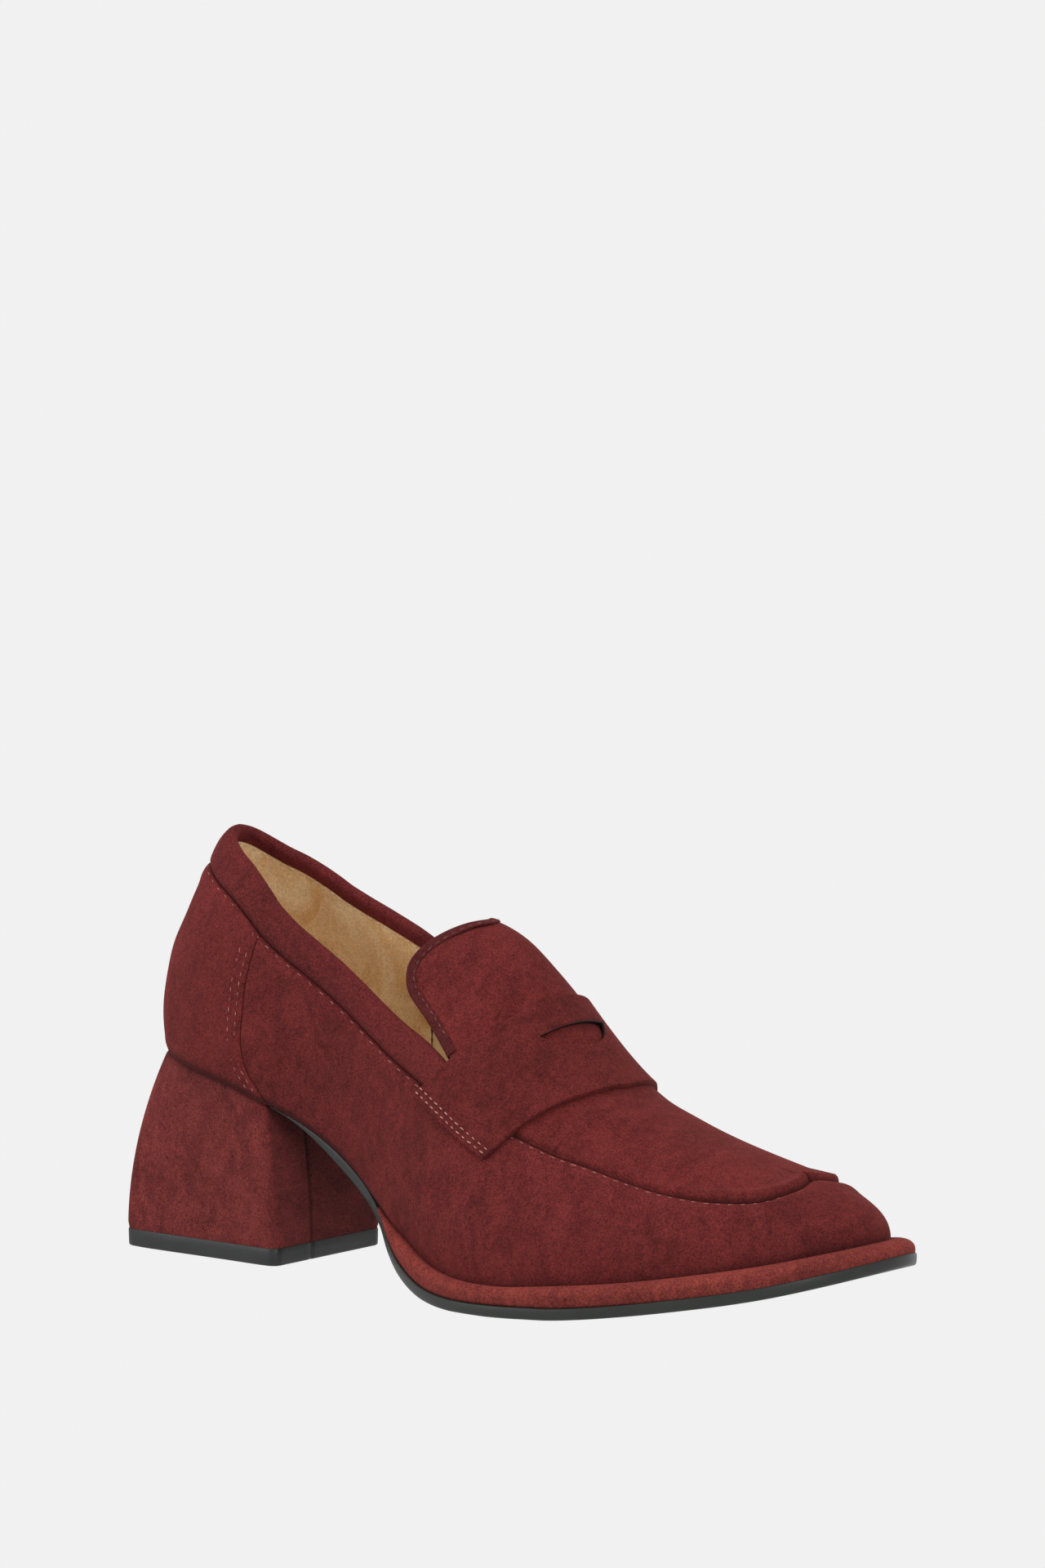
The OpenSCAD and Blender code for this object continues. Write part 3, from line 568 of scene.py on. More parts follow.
# Heel grip of reversed pigskin: tan nap, rubbed into clouds
def gripSuede(name):
    material, tree, surface, where = newMaterial(name, {
        "Roughness": 0.95, "Specular IOR Level": 0.12, "Sheen Weight": 0.3,
            "Sheen Tint": toLinear("#f0cf98")})
    cloud = ramp(tree, noise(tree, where, 13, (1, 1, 0.7), detail=4.0, rough=0.62, warp=0.8), 0.32, 0.7)
    blot = ramp(tree, noise(tree, where, 5, detail=4.0, rough=0.65, start=11), 0.4, 0.75)
    grain = noise(tree, where, 0.7, detail=3.0, rough=0.75)
    colour = blendColour(tree, cloud, "#e6b67c", "#ffe6b8")
    colour = blendColour(tree, scaled(tree, blot, 0.5), colour, "#f4ca8e")
    dim = addNode(tree, "ShaderNodeMapRange", {"To Min": 0.8, "To Max": 1.14},
        {"Value": ramp(tree, grain, 0.3, 0.7)})
    colour = blendColour(tree, 1.0, colour, dim.outputs["Result"], "MULTIPLY")
    tree.links.new(colour, surface.inputs["Base Color"])
    bumps(tree, surface, [(blot, 0.3, 0.3), (grain, 0.2, 0.5)])
    return material


# Compounded rubber, moulded and buffed: near matt, a soft grey bloom, fine scratches along the edge
def mouldedRubber(name, tones, rough):
    material, tree, surface, where = newMaterial(name,
        {"Roughness": rough, "Specular IOR Level": 0.45, "IOR": 1.52})
    bloom = ramp(tree, noise(tree, where, 16, detail=3.0, rough=0.6), 0.35, 0.7)
    dust = noise(tree, where, 0.9, detail=4.0, rough=0.75)
    rub = noise(tree, where, 1.4, (0.12, 0.12, 1), (0, 0, 0.4), 3.0, 0.6)
    colour = blendColour(tree, bloom, tones[0], tones[1])
    colour = blendColour(tree, scaled(tree, dust, 0.22), colour, tones[2])
    tree.links.new(colour, surface.inputs["Base Color"])
    wear = addNode(tree, "ShaderNodeMapRange", {"To Min": rough - 0.1, "To Max": rough + 0.16},
        {"Value": rub})
    tree.links.new(wear.outputs["Result"], surface.inputs["Roughness"])
    bumps(tree, surface, [(rub, 0.06, 0.35), (dust, 0.08, 0.3)])
    return material


# Bonded polyester thread: soft shine, twisted plies
def twistedThread(name, tones):
    material, tree, surface, where = newMaterial(name, {
        "Roughness": 0.6, "Specular IOR Level": 0.4, "Sheen Weight": 0.2,
            "Sheen Tint": toLinear("#ffe9dd")})
    ply = noise(tree, where, 0.35, detail=2.0)
    tree.links.new(blendColour(tree, ramp(tree, ply, 0.35, 0.65), tones[0], tones[1]),
        surface.inputs["Base Color"])
    bumps(tree, surface, [(ply, 0.08, 0.5)])
    return material


# Inner parts that show only when the shoe is taken apart
def innerStuff(name, tones, rough, spot, depth, metal=0.0):
    material, tree, surface, where = newMaterial(name, {"Roughness": rough, "Metallic": metal})
    cells = noise(tree, where, spot, detail=4.0, rough=0.7)
    tree.links.new(blendColour(tree, ramp(tree, cells, 0.3, 0.7), tones[0], tones[1]),
        surface.inputs["Base Color"])
    bumps(tree, surface, [(cells, depth, 0.5)])
    return material


finishes = {
    "sideSuede": brushedSuede("brushedCalfSuede", start=0.0),
    "heelCounterSuede": brushedSuede("brushedCalfSuedeCounter", start=57.0, body="#642123", contrast=0.9),
    "apronSuede": brushedSuede("brushedCalfSuedeApron", start=12.0, body="#5a1c1d"),
    "collarSuede": brushedSuede("foldedCalfSuede", start=80.0, contrast=0.6, body="#5a1e21", patch=30),
    "strapSuede": brushedSuede("brushedCalfSuedeStrap", start=33.0, body="#551b1c", contrast=0.8),
    # darker copy of the same suede: painted shade on the folded tongue binding
    "bindingSuede": brushedSuede("skivedSuedeBindingShaded", start=21.0, body="#4b191b", light="#682827",
        bloom="#6a2d29", contrast=0.7),
    # lighter, more orange copy of the same suede: painted highlight on the rounded rand
    "randSuede": brushedSuede("calfSuedeRandHighlit", start=44.0, body="#78302e", light="#9a4339",
        bloom="#a84f40"),
    "heelSuede": brushedSuede("gluedCalfSuede", start=66.0, body="#642629", light="#8c3c38",
        bloom="#984538", contrast=1.4),
    "edgePaint": paintedEdge("paintedLeatherEdge"),
    "lining": pigskin("smoothPigskin", ("#f6d79e", "#ffeabc", "#fff3d2", "#d6ab74")),
    "sock": pigskin("smoothPigskinSock", ("#d8b384", "#e8cba2", "#f0dabc", "#bb8e62")),
    "grip": gripSuede("reversedPigskinGrip"),
    "outsole": mouldedRubber("mouldedRubberOutsole", ("#131614", "#1d211d", "#3a3e37"), 0.4),
    "topPiece": mouldedRubber("hardRubberTopPiece", ("#101111", "#181a19", "#333533"), 0.46),
    "paleThread": twistedThread("paleBondedThread", ("#9c635a", "#c99287")),
    "roseThread": twistedThread("roseBondedThread", ("#7d413c", "#b0736a")),
    "wineThread": twistedThread("wineBondedThread", ("#4a1d1c", "#7a3a35")),
    "brownThread": twistedThread("brownBondedThread", ("#2e1a10", "#56361f")),
    "tanThread": twistedThread("tanBondedThread", ("#c9a77c", "#ecd6b2")),
    "foam": innerStuff("polyetherFoam", ("#cfc6b2", "#e8e0d0"), 0.95, 0.8, 0.3),
    "interlining": innerStuff("wovenInterlining", ("#bcae92", "#d9cdb4"), 0.9, 0.6, 0.2),
    "board": innerStuff("celluloseBoard", ("#9c8058", "#bda27a"), 0.85, 1.5, 0.15),
    "cork": innerStuff("corkFiller", ("#6d5233", "#a07f55"), 0.9, 1.8, 0.4),
    "wedge": innerStuff("foamedPlatform", ("#6b4e33", "#80603f"), 0.85, 0.9, 0.2),
    "heelBlock": innerStuff("injectedPolystyreneHeel", ("#bdb6a6", "#cdc6b6"), 0.45, 6, 0.05),
    "steel": innerStuff("zincPlatedSteel", ("#8d9196", "#a9adb1"), 0.38, 2.5, 0.04, 1.0),
}
print("stage: materials", len(finishes))

# ---- vamp and side ----
vampSet = {"step": 1.35, "groove": 0.85, "grooveWidth": 0.85, "swell": 0.45, "swellAt": 3.6,
    "swellWidth": 2.4}
heights = np.concatenate([np.linspace(0, 0.1, 6)[:-1], np.linspace(0.1, 0.88, 30)[:-1],
    np.linspace(0.88, 1, 14)])


def underRows(u, suede):  # the lasting margin, turned in under the last
    return [level(inward(u, d), 0) for d in (12.0, 2.5)], [
        level(inward(u, d), suede) for d in (12.0, 2.5, suede + 0.1)]


def sideShape(name, us, finish, s, lap):
    # us holds one row of u for each height
    v = heights[:, None] * (seam(us) - 0.0015)
    down = (seam(us) - v) * rateV(us, v)
    relief = softFolds(skin(us, v)) * smooth(heights, 0, 0.12)[:, None] * smooth(down, 0, 6)
    relief = relief - s["groove"] * hump(down, 0, s["grooveWidth"])
    relief = relief + s["swell"] * hump(down, s["swellAt"], s["swellWidth"])
    edge = np.minimum(np.abs(us - us[:, :1]), np.abs(us - us[:, -1:])) * rateU(us, v)
    relief = relief + lap(edge)
    floor = v * rateV(us, v)
    relief = relief - 0.35 * hump(floor, 0, 1.4)
    # painted shade mask, stored as the crease attribute: darker in the top seam groove (stronger towards
    # the toe) and along the bottom by the rand; the turned-in margin rows take full painted shade
    groove = mix(0.4, 0.75, smooth(fold(us), 7.6, 9))
    crease = np.maximum(groove * hump(down, 0, 0.7), 0.9 * hump(floor, 0.6, 1.5 + 1.5 * (fold(us) > 5)))
    margin, under = underRows(us[0], leather["suede"])
    face = np.concatenate([np.array(margin), off(us, v, relief)])
    back = np.concatenate([np.array(under), off(us, v, np.minimum(relief, 0) - leather["suede"])[1:]])
    shade = np.concatenate([np.ones((2, us.shape[1])), crease])
    return sheetPiece(name, face, back, finish, {"crease": shade})


def vampPiece():
    start = curve(counterLine, heights * 0.44) + 0.012
    along = evenSteps(lambda u: skin(u, np.full_like(u, 0.25)), start[0], around - start[0],
        vampSet["step"])
    share = (along - along[0]) / (along[-1] - along[0])
    us = mix(start[:, None], around - start[:, None], share[None, :])
    return sideShape("vamp_upper", us, finishes["sideSuede"], vampSet,
        lambda edge: -0.3 * hump(edge, 0, 1.2))


def counterPiece():
    start = curve(counterLine, heights * 0.44) + 0.004
    along = evenSteps(lambda u: skin(u, np.full_like(u, 0.25)), -start[0], start[0], vampSet["step"])
    share = (along - along[0]) / (along[-1] - along[0])
    us = mix(-start[:, None], start[:, None], share[None, :])
    return sideShape(
        "heel_counter", us, finishes["heelCounterSuede"], vampSet,
        lambda edge: 0.42 * (1 - smooth(edge, 5, 14)) * smooth(edge, 0, 0.4))


settle(vampPiece(), "vamp", "suede")
settle(counterPiece(), "counter_cover", "suede")
print("stage: vamp and counter")

# ---- apron, tongue and their lining ----
apronSet = {"step": 1.25, "across": 30, "groove": 0.8, "grooveWidth": 0.7, "swell": 0.5, "toeSwell": 1.25,
    "swellAt": 2.5}


def plugGrid(step, across):
    outer = evenSteps(lambda u: skin(u, plugLow(u)), 4.28, toe, step)
    share = 1 - np.cos(np.linspace(0, 1, across) * math.pi / 2)
    us = np.concatenate([np.repeat(outer[:, None], across, 1),
        np.repeat(around - outer[:, None], across - 1, 1)], 1)
    low = np.concatenate([
        mix(plugLow(outer)[:, None], 1, share[None, :]),
        mix(plugLow(around - outer)[:, None], 1, share[None, -2::-1])], 1)
    up = (low - plugLow(us)) * rateV(us, low)
    return cutRound(us, low), low, up


def plugPiece(name, high, thick, finish, s):
    us, v, up = plugGrid(s["step"], s["across"])
    seamed = smooth(fold(us), 5.5, 5.6)
    swell = mix(s["swell"], s["toeSwell"], smooth(fold(us), 7.6, 9.6))
    relief = seamed * (swell * hump(up, s["swellAt"], 1.9) - s["groove"] * hump(up, 0, s["grooveWidth"]))
    relief = relief + softFolds(skin(us, v)) * smooth(up, 1, 7)
    # painted shade mask, stored as the crease attribute: darkens the apron in its seam groove, more towards
    # the toe
    crease = mix(0.45, 0.85, smooth(fold(us), 7.6, 9)) * seamed * hump(up, 0, 0.6)
    return sheetPiece(name, off(us, v, high + relief), off(us, v, high + np.minimum(relief, 0) - thick),
        finish,
                      {"crease": crease})


settle(plugPiece("apron_and_tongue", 0.0, leather["suede"], finishes["apronSuede"], apronSet), "apron",
    "suede")
plain = {**apronSet, "step": 2.2, "across": 16, "groove": 0.0, "swell": 0.0, "toeSwell": 0.0}
settle(plugPiece("tongue_lining", inner1, leather["lining"], finishes["lining"], plain), "plug_lining",
    "lining_leather")

bindingSet = {"width": 2.9, "skin": 0.42, "step": 0.9}


def rounded(points, times):  # cuts the corners of a closed ring
    for _ in range(times):
        following = np.roll(points, -1, axis=0)
        points = np.stack([mix(points, following, 0.25), mix(points, following, 0.75)], 1).reshape(-1, 2)
    return points


tongueKnots = [[u, float(tongueEdge(u))] for u in (
    5.46, 5.36, 5.26, 5.18, 5.1, 5.02, 4.95, 4.89, 4.84, 4.8, 4.76, 4.73, 4.7, 4.67, 4.64, 4.62, 4.6, 4.57,
        4.54, 4.5,
    4.46, 4.42, 4.39, 4.36, 4.335, 4.31, 4.29)]
tongueKnots = np.array(tongueKnots + [[4.28, 0.96], [4.275, 0.98], [4.272, 1]])


def tongueFrame(step):  # the tongue's edge as points, directions into the tongue and normals
    count = np.arange(len(tongueKnots))

    def spot(x, side):
        u, v = np.interp(x, count, tongueKnots[:, 0]), np.interp(x, count, tongueKnots[:, 1])
        u = cutRound(u, v)
        return (u if side > 0 else around - u), v

    steps = evenSteps(lambda x: skin(*spot(x, 1)), 0, len(count) - 1, step)
    halves = []
    for side, order in ((1, steps), (-1, steps[-2::-1])):
        u, v = spot(order, side)
        halves.append((skin(u, v), outward(u, v)))
    p = np.concatenate([halves[0][0], halves[1][0]])
    m = np.concatenate([halves[0][1], halves[1][1]])
    for _ in range(8):  # evens the line and its frame where it turns over the ridge
        p[1:-1] = (p[:-2] + 2 * p[1:-1] + p[2:]) / 4
        m[1:-1] = (m[:-2] + 2 * m[1:-1] + m[2:]) / 4
    t = unit(np.gradient(p, axis=0))
    m = unit(m - np.sum(m * t, -1, keepdims=True) * t)
    return p, np.cross(t, m), m


def bindingPiece():
    p, e, m = tongueFrame(bindingSet["step"])
    core = leather["suede"] + leather["gap"] + leather["lining"]
    b, w = bindingSet["skin"], bindingSet["width"]
    shape = rounded(np.array([
        [3, -core - 0.06 - b], [0.2, -core - 0.06 - b], [-0.75, -core * 0.8], [-0.8, -core * 0.2],
            [-0.1, 0.06 + b],
        [1.2, 0.12 + b], [w - 0.4, 0.06 + b * 0.9], [w, 0.1], [w - 0.3, 0.02], [0.1, 0.02],
            [-0.12, -core * 0.25],
        [-0.12, -core * 0.75], [0.2, -core - 0.03], [3, -core - 0.03]]), 2)
    loops = p[:, None] + shape[None, :, :1] * e[:, None] + shape[None, :, 1:] * m[:, None]
    return loftPiece("tongue_binding_tape", loops, finishes["bindingSuede"], sharp=60)


settle(bindingPiece(), "tongue_binding", "binding_suede")
print("stage: apron and tongue")

# ---- saddle strap ----
strapSet = {"thickness": 1.5, "gap": 0.2, "step": 1.1, "slotLength": 28, "slotDepth": 7.5, "slotAt": 0.27,
    "slotSide": -2}


def strapPoint(v, side, t):
    u = mix(curve(strapFrontLine, v), curve(strapRearLine, v), t)
    return np.where(side > 0, u, around - u)


def strapPiece():
    half = evenSteps(lambda v: skin(strapPoint(v, 1, 0.5), v), 0.395, 1, strapSet["step"])
    v = np.concatenate([half, half[-2::-1]])
    side = np.concatenate([np.ones(len(half)), -np.ones(len(half) - 1)])
    edge = [[0, 0.1], [0.0, 0.45], [0.0015, 0.75], [0.006, 0.93], [0.014, 1], [0.035, 1.02]]
    middle = [[t, 1.0] for t in np.linspace(0.06, 0.94, 26)]
    over = edge + middle + [[1 - t, h] for t, h in edge[::-1]]
    under = [[t, 0.0] for t in np.linspace(0.985, 0.015, 20)]
    profile = np.array(over + under)
    lift = 0.12 * smooth(v, 0.55, 0.9)
    t, h = profile[:, 0], profile[:, 1]
    us = strapPoint(v[:, None], side[:, None], t[None, :])
    height = strapSet["gap"] + lift[:, None] * (h > 0.05)[None, :] * 0.5 + h[None,
        :] * strapSet["thickness"]
    vv = np.broadcast_to(v[:, None], us.shape)
    folds3 = softFolds(skin(us, vv)) * (h > 0.9)[None, :] * 0.8
    loops = off(us, vv, height + folds3)
    n = len(profile)
    cut = np.zeros(n, int)
    cut[:4] = 1
    cut[len(over) - 4:len(over)] = 1
    cut[-1] = 1
    faceFinish = np.tile(cut, len(v) - 1).tolist() + [1] * (2 * (n // 2 - 1) + 2 * (n % 2))
    piece = loftPiece("saddle_strap_leather", loops, [finishes["strapSuede"], finishes["edgePaint"]],
        sharp=50)
    return piece


def slotCutter():  # half moon, straight side to the heel and bow to the toe
    u = float(mix(curve(strapRearLine, 1.0), curve(strapFrontLine, 1.0), strapSet["slotAt"]))
    p = skin(np.array([u]), np.array([1.0]))[0] + [0, strapSet["slotSide"], 0]
    slope = float((ridge(p[0] + 3) - ridge(p[0] - 3)) / 6)
    along = unit(np.array([1, 0, slope]))
    upward = np.cross(along, np.array([0, 1, 0]))
    length, depth = strapSet["slotLength"], strapSet["slotDepth"]
    radius = ((length / 2) ** 2 + depth**2) / 2 / depth
    bow = [[t * length / 2, math.sqrt(radius**2 - (
        t * length / 2) ** 2) - radius + depth] for t in np.linspace(-1, 1, 44)]
    flat = [[t * length / 2, -0.5 * (1 - t * t)] for t in np.linspace(1, -1, 24)[1:-1]]
    ring = np.array(bow + flat)
    base = p + ring[:, :1] * np.array([0, 1, 0]) + ring[:, 1:] * along
    return np.stack([base - 6 * upward, base + 6 * upward])


def withSlot(piece):
    cutter = loftPiece("slot_cutter", slotCutter(), finishes["edgePaint"])
    cut = piece.modifiers.new("slot", "BOOLEAN")
    cut.operation = "DIFFERENCE"
    cut.object = cutter
    cut.solver = "EXACT"
    cut.material_mode = "TRANSFER"
    bpy.context.view_layer.update()
    mesh = bpy.data.meshes.new_from_object(piece.evaluated_get(bpy.context.evaluated_depsgraph_get()))
    piece.modifiers.clear()
    piece.data = mesh
    bpy.data.objects.remove(cutter)
    return piece


strap = withSlot(strapPiece())
settle(strap, "saddle_strap", "strap_suede")
print("stage: strap,", len(strap.data.polygons), "faces")

# ---- collar ----
collarSet = {"step": 1.3, "puff": 0.5, "groove": 0.75, "arc": 12, "down": 16}


def collarTop(u):
    return topline(u) - collarRoll / rateV(u, topline(u))


def collarPiece():
    limit = leather["throat"] - 0.02
    us = evenSteps(lambda u: skin(u, topline(u)), -limit, limit, collarSet["step"])
    v1, v0 = collarTop(us), seam(us) + 0.0015
    n, t = outward(us, v1), unit(skin(us, v1 + 0.01) - skin(us, v1 - 0.01))
    c = off(us, v1, -collarRoll)

    def path(edge, puff):
        r = collarRoll - edge
        ring = [c - r * n - (leather["turnIn"] - collarRoll) * k * t for k in (1, 0.66, 0.33)]
        for a in np.linspace(math.pi, 0, collarSet["arc"]):
            ring.append(c + r * (math.cos(a) * n + math.sin(a) * t))
        for k in range(1, collarSet["down"] + 1):
            s = k / collarSet["down"]
            v = mix(v1, v0, s)
            down = (v - v0) * rateV(us, v)
            wave = softFolds(skin(us, v)) * smooth(down, 0.5, 5)
            h = puff * (collarSet["puff"] * math.sin(math.pi * s) ** 0.7 - collarSet["groove"] * hump(down,
                0, 0.8) + wave)
            ring.append(off(us, v, h - edge))
        return ring

    outer, inner = path(0, 1), path(leather["suede"] * 0.8, 0)
    loops = np.stack(outer + inner[::-1], 1)
    # painted shade, stored as the crease attribute: the last rings of the collar's face darken where it
    # meets the seam
    shade = np.zeros(loops.shape[:2])
    last = len(outer) - 1
    for k in range(4):
        shade[:, last - k] = (0.8, 0.35, 0.1, 0.03)[k]
    return loftPiece("collar_roll", loops, finishes["collarSuede"], marks={"crease": shade.ravel()},
        sharp=60)


collar = settle(collarPiece(), "collar_band", "collar_suede")
print("stage: collar")


# ---- linings and sock ----
def clearOfMargin(u):
    r = row(u)
    return (leather["suede"] * lean(r[..., 0]) + 0.3) / (3 * r[..., 3])


def liningHigh(u):
    rolled = topline(u) - (leather["turnIn"] - 0.6) / rateV(u, topline(u))
    return np.where(fold(u) < leather["throat"], rolled, seam(u) - 0.004)


def liningPiece(name, us, finish, edgeCrease):
    share = np.linspace(0, 1, 34)[:, None]
    low, high = clearOfMargin(us), liningHigh(us)
    v = mix(low[None, :], high[None, :], share)
    grid = np.broadcast_to(us[None, :], v.shape)
    seamEdge = np.abs(fold(grid) - leather["liningSeam"]) * rateU(grid, v)
    down = (high[None, :] - v) * rateV(grid, v)
    wave = softFolds(skin(grid, v)) * 1.3 * smooth(down, 0, 5)
    wave = wave + edgeCrease * hump(seamEdge, 0, 1.0)
    floor = (v - low[None, :]) * rateV(grid, v)
    # painted shade mask, stored as the crease attribute: the lining darkens deep in the shoe near its
    # bottom and along the lining seam
    crease = np.maximum(0.7 * hump(floor, 1, 3.5), 0.5 * hump(seamEdge, 0, 0.5))
    return sheetPiece(name, off(grid, v, inner3 + 0.0 * v), off(grid, v, inner4 - np.abs(wave) * 0.4),
        finish,
                      {"crease": crease})


meet = leather["liningSeam"]
gripSteps = evenSteps(lambda u: skin(u, np.full_like(u, 0.3)), -meet + 0.006, meet - 0.006, 2.0)
settle(liningPiece("heel_grip", gripSteps, finishes["grip"], 0.3), "heel_grip_lining", "lining_suede")
frontSteps = evenSteps(lambda u: skin(u, np.full_like(u, 0.3)), meet + 0.006, around - meet - 0.006, 2.0)
settle(liningPiece("quarter_lining", frontSteps, finishes["lining"], -0.2), "vamp_lining", "lining_leather")


def sockPiece():
    us = evenSteps(lambda u: skin(u, np.zeros_like(u)), 0.18, around + 0.18, 2.4)[:-1]
    wall = -inner4 + 0.35
    low = leather["suede"] + leather["gap"] + leather["insole"] + 2 * leather["gap"] + leather["sockFoam"]
    top = low + leather["sock"]
    rings = [(wall + 0.3, low), (wall + 0.3, top - 0.35), (wall + 0.45, top - 0.1), (wall + 0.9, top)]
    return loftPiece("sock_leather", [level(inward(us, d), t) for d, t in rings], finishes["sock"],
        sharp=50)


settle(sockPiece(), "sock_lining", "lining_leather")
print("stage: linings")

# ---- rand and outsole ----
randSet = {"step": 1.3, "start": 4.62, "serration": 0.1, "teeth": 1.15}


def growth(x):
    return smooth(x, 92, 112)


def bezier(points, count):
    t = np.linspace(0, 1, count)[:, None, None]
    a, b, c, d = points
    return (1 - t) ** 3 * a + 3 * t * (1 - t) ** 2 * b + 3 * t * t * (1 - t) * c + t**3 * d


def randPiece():
    us = evenSteps(lambda u: skin(u, np.zeros_like(u)), randSet["start"], around - randSet["start"],
        randSet["step"])
    r = row(us)
    x, g = r[:, 0], growth(r[:, 0])
    out = np.maximum(0.5, reach(x) - 0.3)
    rise = np.maximum(0.15, leather["randRise"] * g)
    crease = off(us, rise / (3 * r[:, 3]), leather["gap"] - 0.5)
    zt = soleTop(x) + 0.05
    zc = crease[:, 2]
    h = zc - zt
    tooth = randSet["serration"] * g * np.sin(np.arange(len(us)) * randSet["teeth"] * 2)

    def point(d, z):
        return on(inward(us, -d), z)

    top = bezier([crease, point(out * 0.45, zc + 1.15 * g), point(out + 0.25, zc + 0.2 * g),
        point(out + 0.15, zt + h * 0.5)], 12)
    side = bezier([
        top[-1], point(out + 0.1, zt + h * 0.22), point(out + 0.05, zt + h * 0.1),
            point(out - 0.45 + tooth, zt)], 6)
    base = np.stack([point(np.maximum(0.25, out - 1.6), zt),
        point(np.maximum(0.25, out - 1.6), seat(x) - 0.02),
                     point(np.full_like(x, -0.4), seat(x) - 0.02)])
    loops = np.concatenate([top, side[1:], base]).swapaxes(0, 1)
    # painted shade, stored as the crease attribute: dark along the crease where the rand meets the upper
    # and along its foot where it meets the sole
    shade = np.zeros(loops.shape[:2])
    shade[:, 0], shade[:, 1], shade[:, 2] = 1.0, 0.8, 0.4
    shade[:, 3], shade[:, 16], shade[:, 15] = 0.12, 0.7, 0.2
    return loftPiece("covered_rand", loops, finishes["randSuede"], marks={"crease": shade.ravel()},
        sharp=70)


settle(randPiece(), "rand_wrap", "rand_suede")
outsoleSet = {"start": 3.22, "full": 4.1, "thin": 0.35, "step": 1.6, "lip": 0.55}


def outsolePiece():
    us = evenSteps(lambda u: skin(u, np.zeros_like(u)), outsoleSet["start"], around - outsoleSet["start"],
        outsoleSet["step"])
    g = growth(row(us)[:, 0])
    lip = -outsoleSet["lip"] * g
    # pared thin where it runs under the heel
    taper = smooth(fold(us), outsoleSet["start"], outsoleSet["full"])
    rings = []
    for inset, share in ((1.6, 0.0), (0.75, 0.0), (0.35, 0.05), (0.12, 0.16), (0.02, 0.4), (0.0, 0.75),
        (0.12, 0.95), (0.4, 1.0)):
        p = soleEdge(us, lip + inset)
        high = soleTop(p[:, 0])
        low = mix(high - outsoleSet["thin"], soleBottom(p[:, 0]), taper)
        rings.append(on(p, mix(low, high, share)))
    return loftPiece("rubber_outsole", rings, finishes["outsole"], sharp=45)


settle(outsolePiece(), "outsole", "outsole_rubber")
print("stage: rand and outsole")

# ---- heel ----
heelSet = {
    "length": 61, "width": 49, "back": -6, "breast": 51, "topPiece": 5, "wrap": 1.0, "rings": 30,
    "seamAt": -8.0, "seamDepth": 0.45,
}
heelBase = [
    [1, 0.88], [0.985, 0.955], [0.93, 1], [0.76, 0.98], [0.6, 0.96],
    [0.44, 0.945], [0.28, 0.93], [0.13, 0.9], [0.045, 0.82], [0.005, 0.5],
]
heelTop = [3.12, 3.12, 3, 2.72, 2.42, 2.12, 1.78, 1.4, 1, 0.5]


def heelRing(t, inset):  # outline at share t of the height, pulled in by inset mm
    s = heelSet
    feet, seats = [], []
    for side in (-1, 1):
        f, q = [], []
        for i, (along, half) in enumerate(heelBase):
            f.append([s["back"] + along * s["length"], -side * half * s["width"] / 2])
            u = heelTop[i] if side > 0 else around - heelTop[i]
            p = inward(np.array([float(u)]), 1.2 if i == 1 else 0.5)[0]
            q.append([s["breast"], 0.86 * p[1]] if i == 0 else p.tolist())
        feet.append(f if side < 0 else f[::-1])
        seats.append(q if side < 0 else q[::-1])
    feet = np.array(feet[0] + [[s["back"], 0]] + feet[1])
    seats = np.array(seats[0] + [inward(np.array([0.0]), 0.5)[0].tolist()] + seats[1])
    knots = mix(seats, feet, 1 - t**1.9)
    n = len(knots)
    ring = []
    for i in range(n - 1):  # Catmull-Rom round the back, straight over the breast
        a, b, c, d = knots[max(i - 1, 0)], knots[i], knots[i + 1], knots[min(i + 2, n - 1)]
        for k in np.arange(7) / 7:
            ring.append(0.5 * (2 * b + (c - a) * k + (2 * a - 5 * b + 4 * c - d) * k**2 + (
                3 * b - a - 3 * c + d) * k**3))
    for k in np.arange(56) / 56:
        ring.append(mix(knots[-1], knots[0], k))
    ring = np.array(ring)
    tangent = unit(np.roll(ring, -1, axis=0) - np.roll(ring, 1, axis=0))
    inside = np.stack([-tangent[:, 1], tangent[:, 0]], -1)
    breast = np.concatenate([np.zeros((n - 1) * 7), np.ones(56)])
    groove = s["seamDepth"] * breast * hump(ring[:, 1], s["seamAt"], 0.55)
    moved = ring + (inset + groove)[:, None] * inside
    z = mix(s["topPiece"] + 0.06, seat(moved[:, 0]) - 0.1, t)
    # the second value is a painted shade mask along the breast seam groove
    return on(moved, z), breast * hump(ring[:, 1], s["seamAt"], 0.6)


def heelCoverPiece():
    shares = np.linspace(0, 1, heelSet["rings"])
    outer, marks = [], []
    for t in shares:
        roundOff = 0.35 * hump(t, 0, 0.012) + 0.55 * hump(t, 1, 0.02)
        ring, groove = heelRing(t, roundOff)
        outer.append(ring)
        # painted shade, stored as the crease attribute: along the breast seam groove and the top edge under
        # the sole
        marks.append(np.maximum(groove, 0.9 * hump(t, 1, 0.03)))
    inner = [heelRing(t, heelSet["wrap"])[0] for t in shares[::-1]]
    loops = np.array(outer + inner + outer[:1])
    shade = np.concatenate([np.array(marks).ravel(), np.zeros(len(inner) * len(outer[0])), marks[0]])
    return loftPiece("heel_wrap", loops, finishes["heelSuede"], caps=False, marks={"crease": shade},
        sharp=55)


settle(heelCoverPiece(), "heel_cover", "heel_suede")


def topPiecePiece():
    rings = []
    for z, d in ((0, 1.0), (0.02, 0.6), (0.25, 0.3), (0.6, 0.22), (2.5, 0.15), (4.6, 0.1), (5, 0.3)):
        ring = heelRing(0, d)[0].copy()
        ring[:, 2] = z
        rings.append(ring)
    return loftPiece("heel_top_piece", rings, finishes["topPiece"], sharp=50)


settle(topPiecePiece(), "top_piece", "top_rubber")
print("stage: heel")


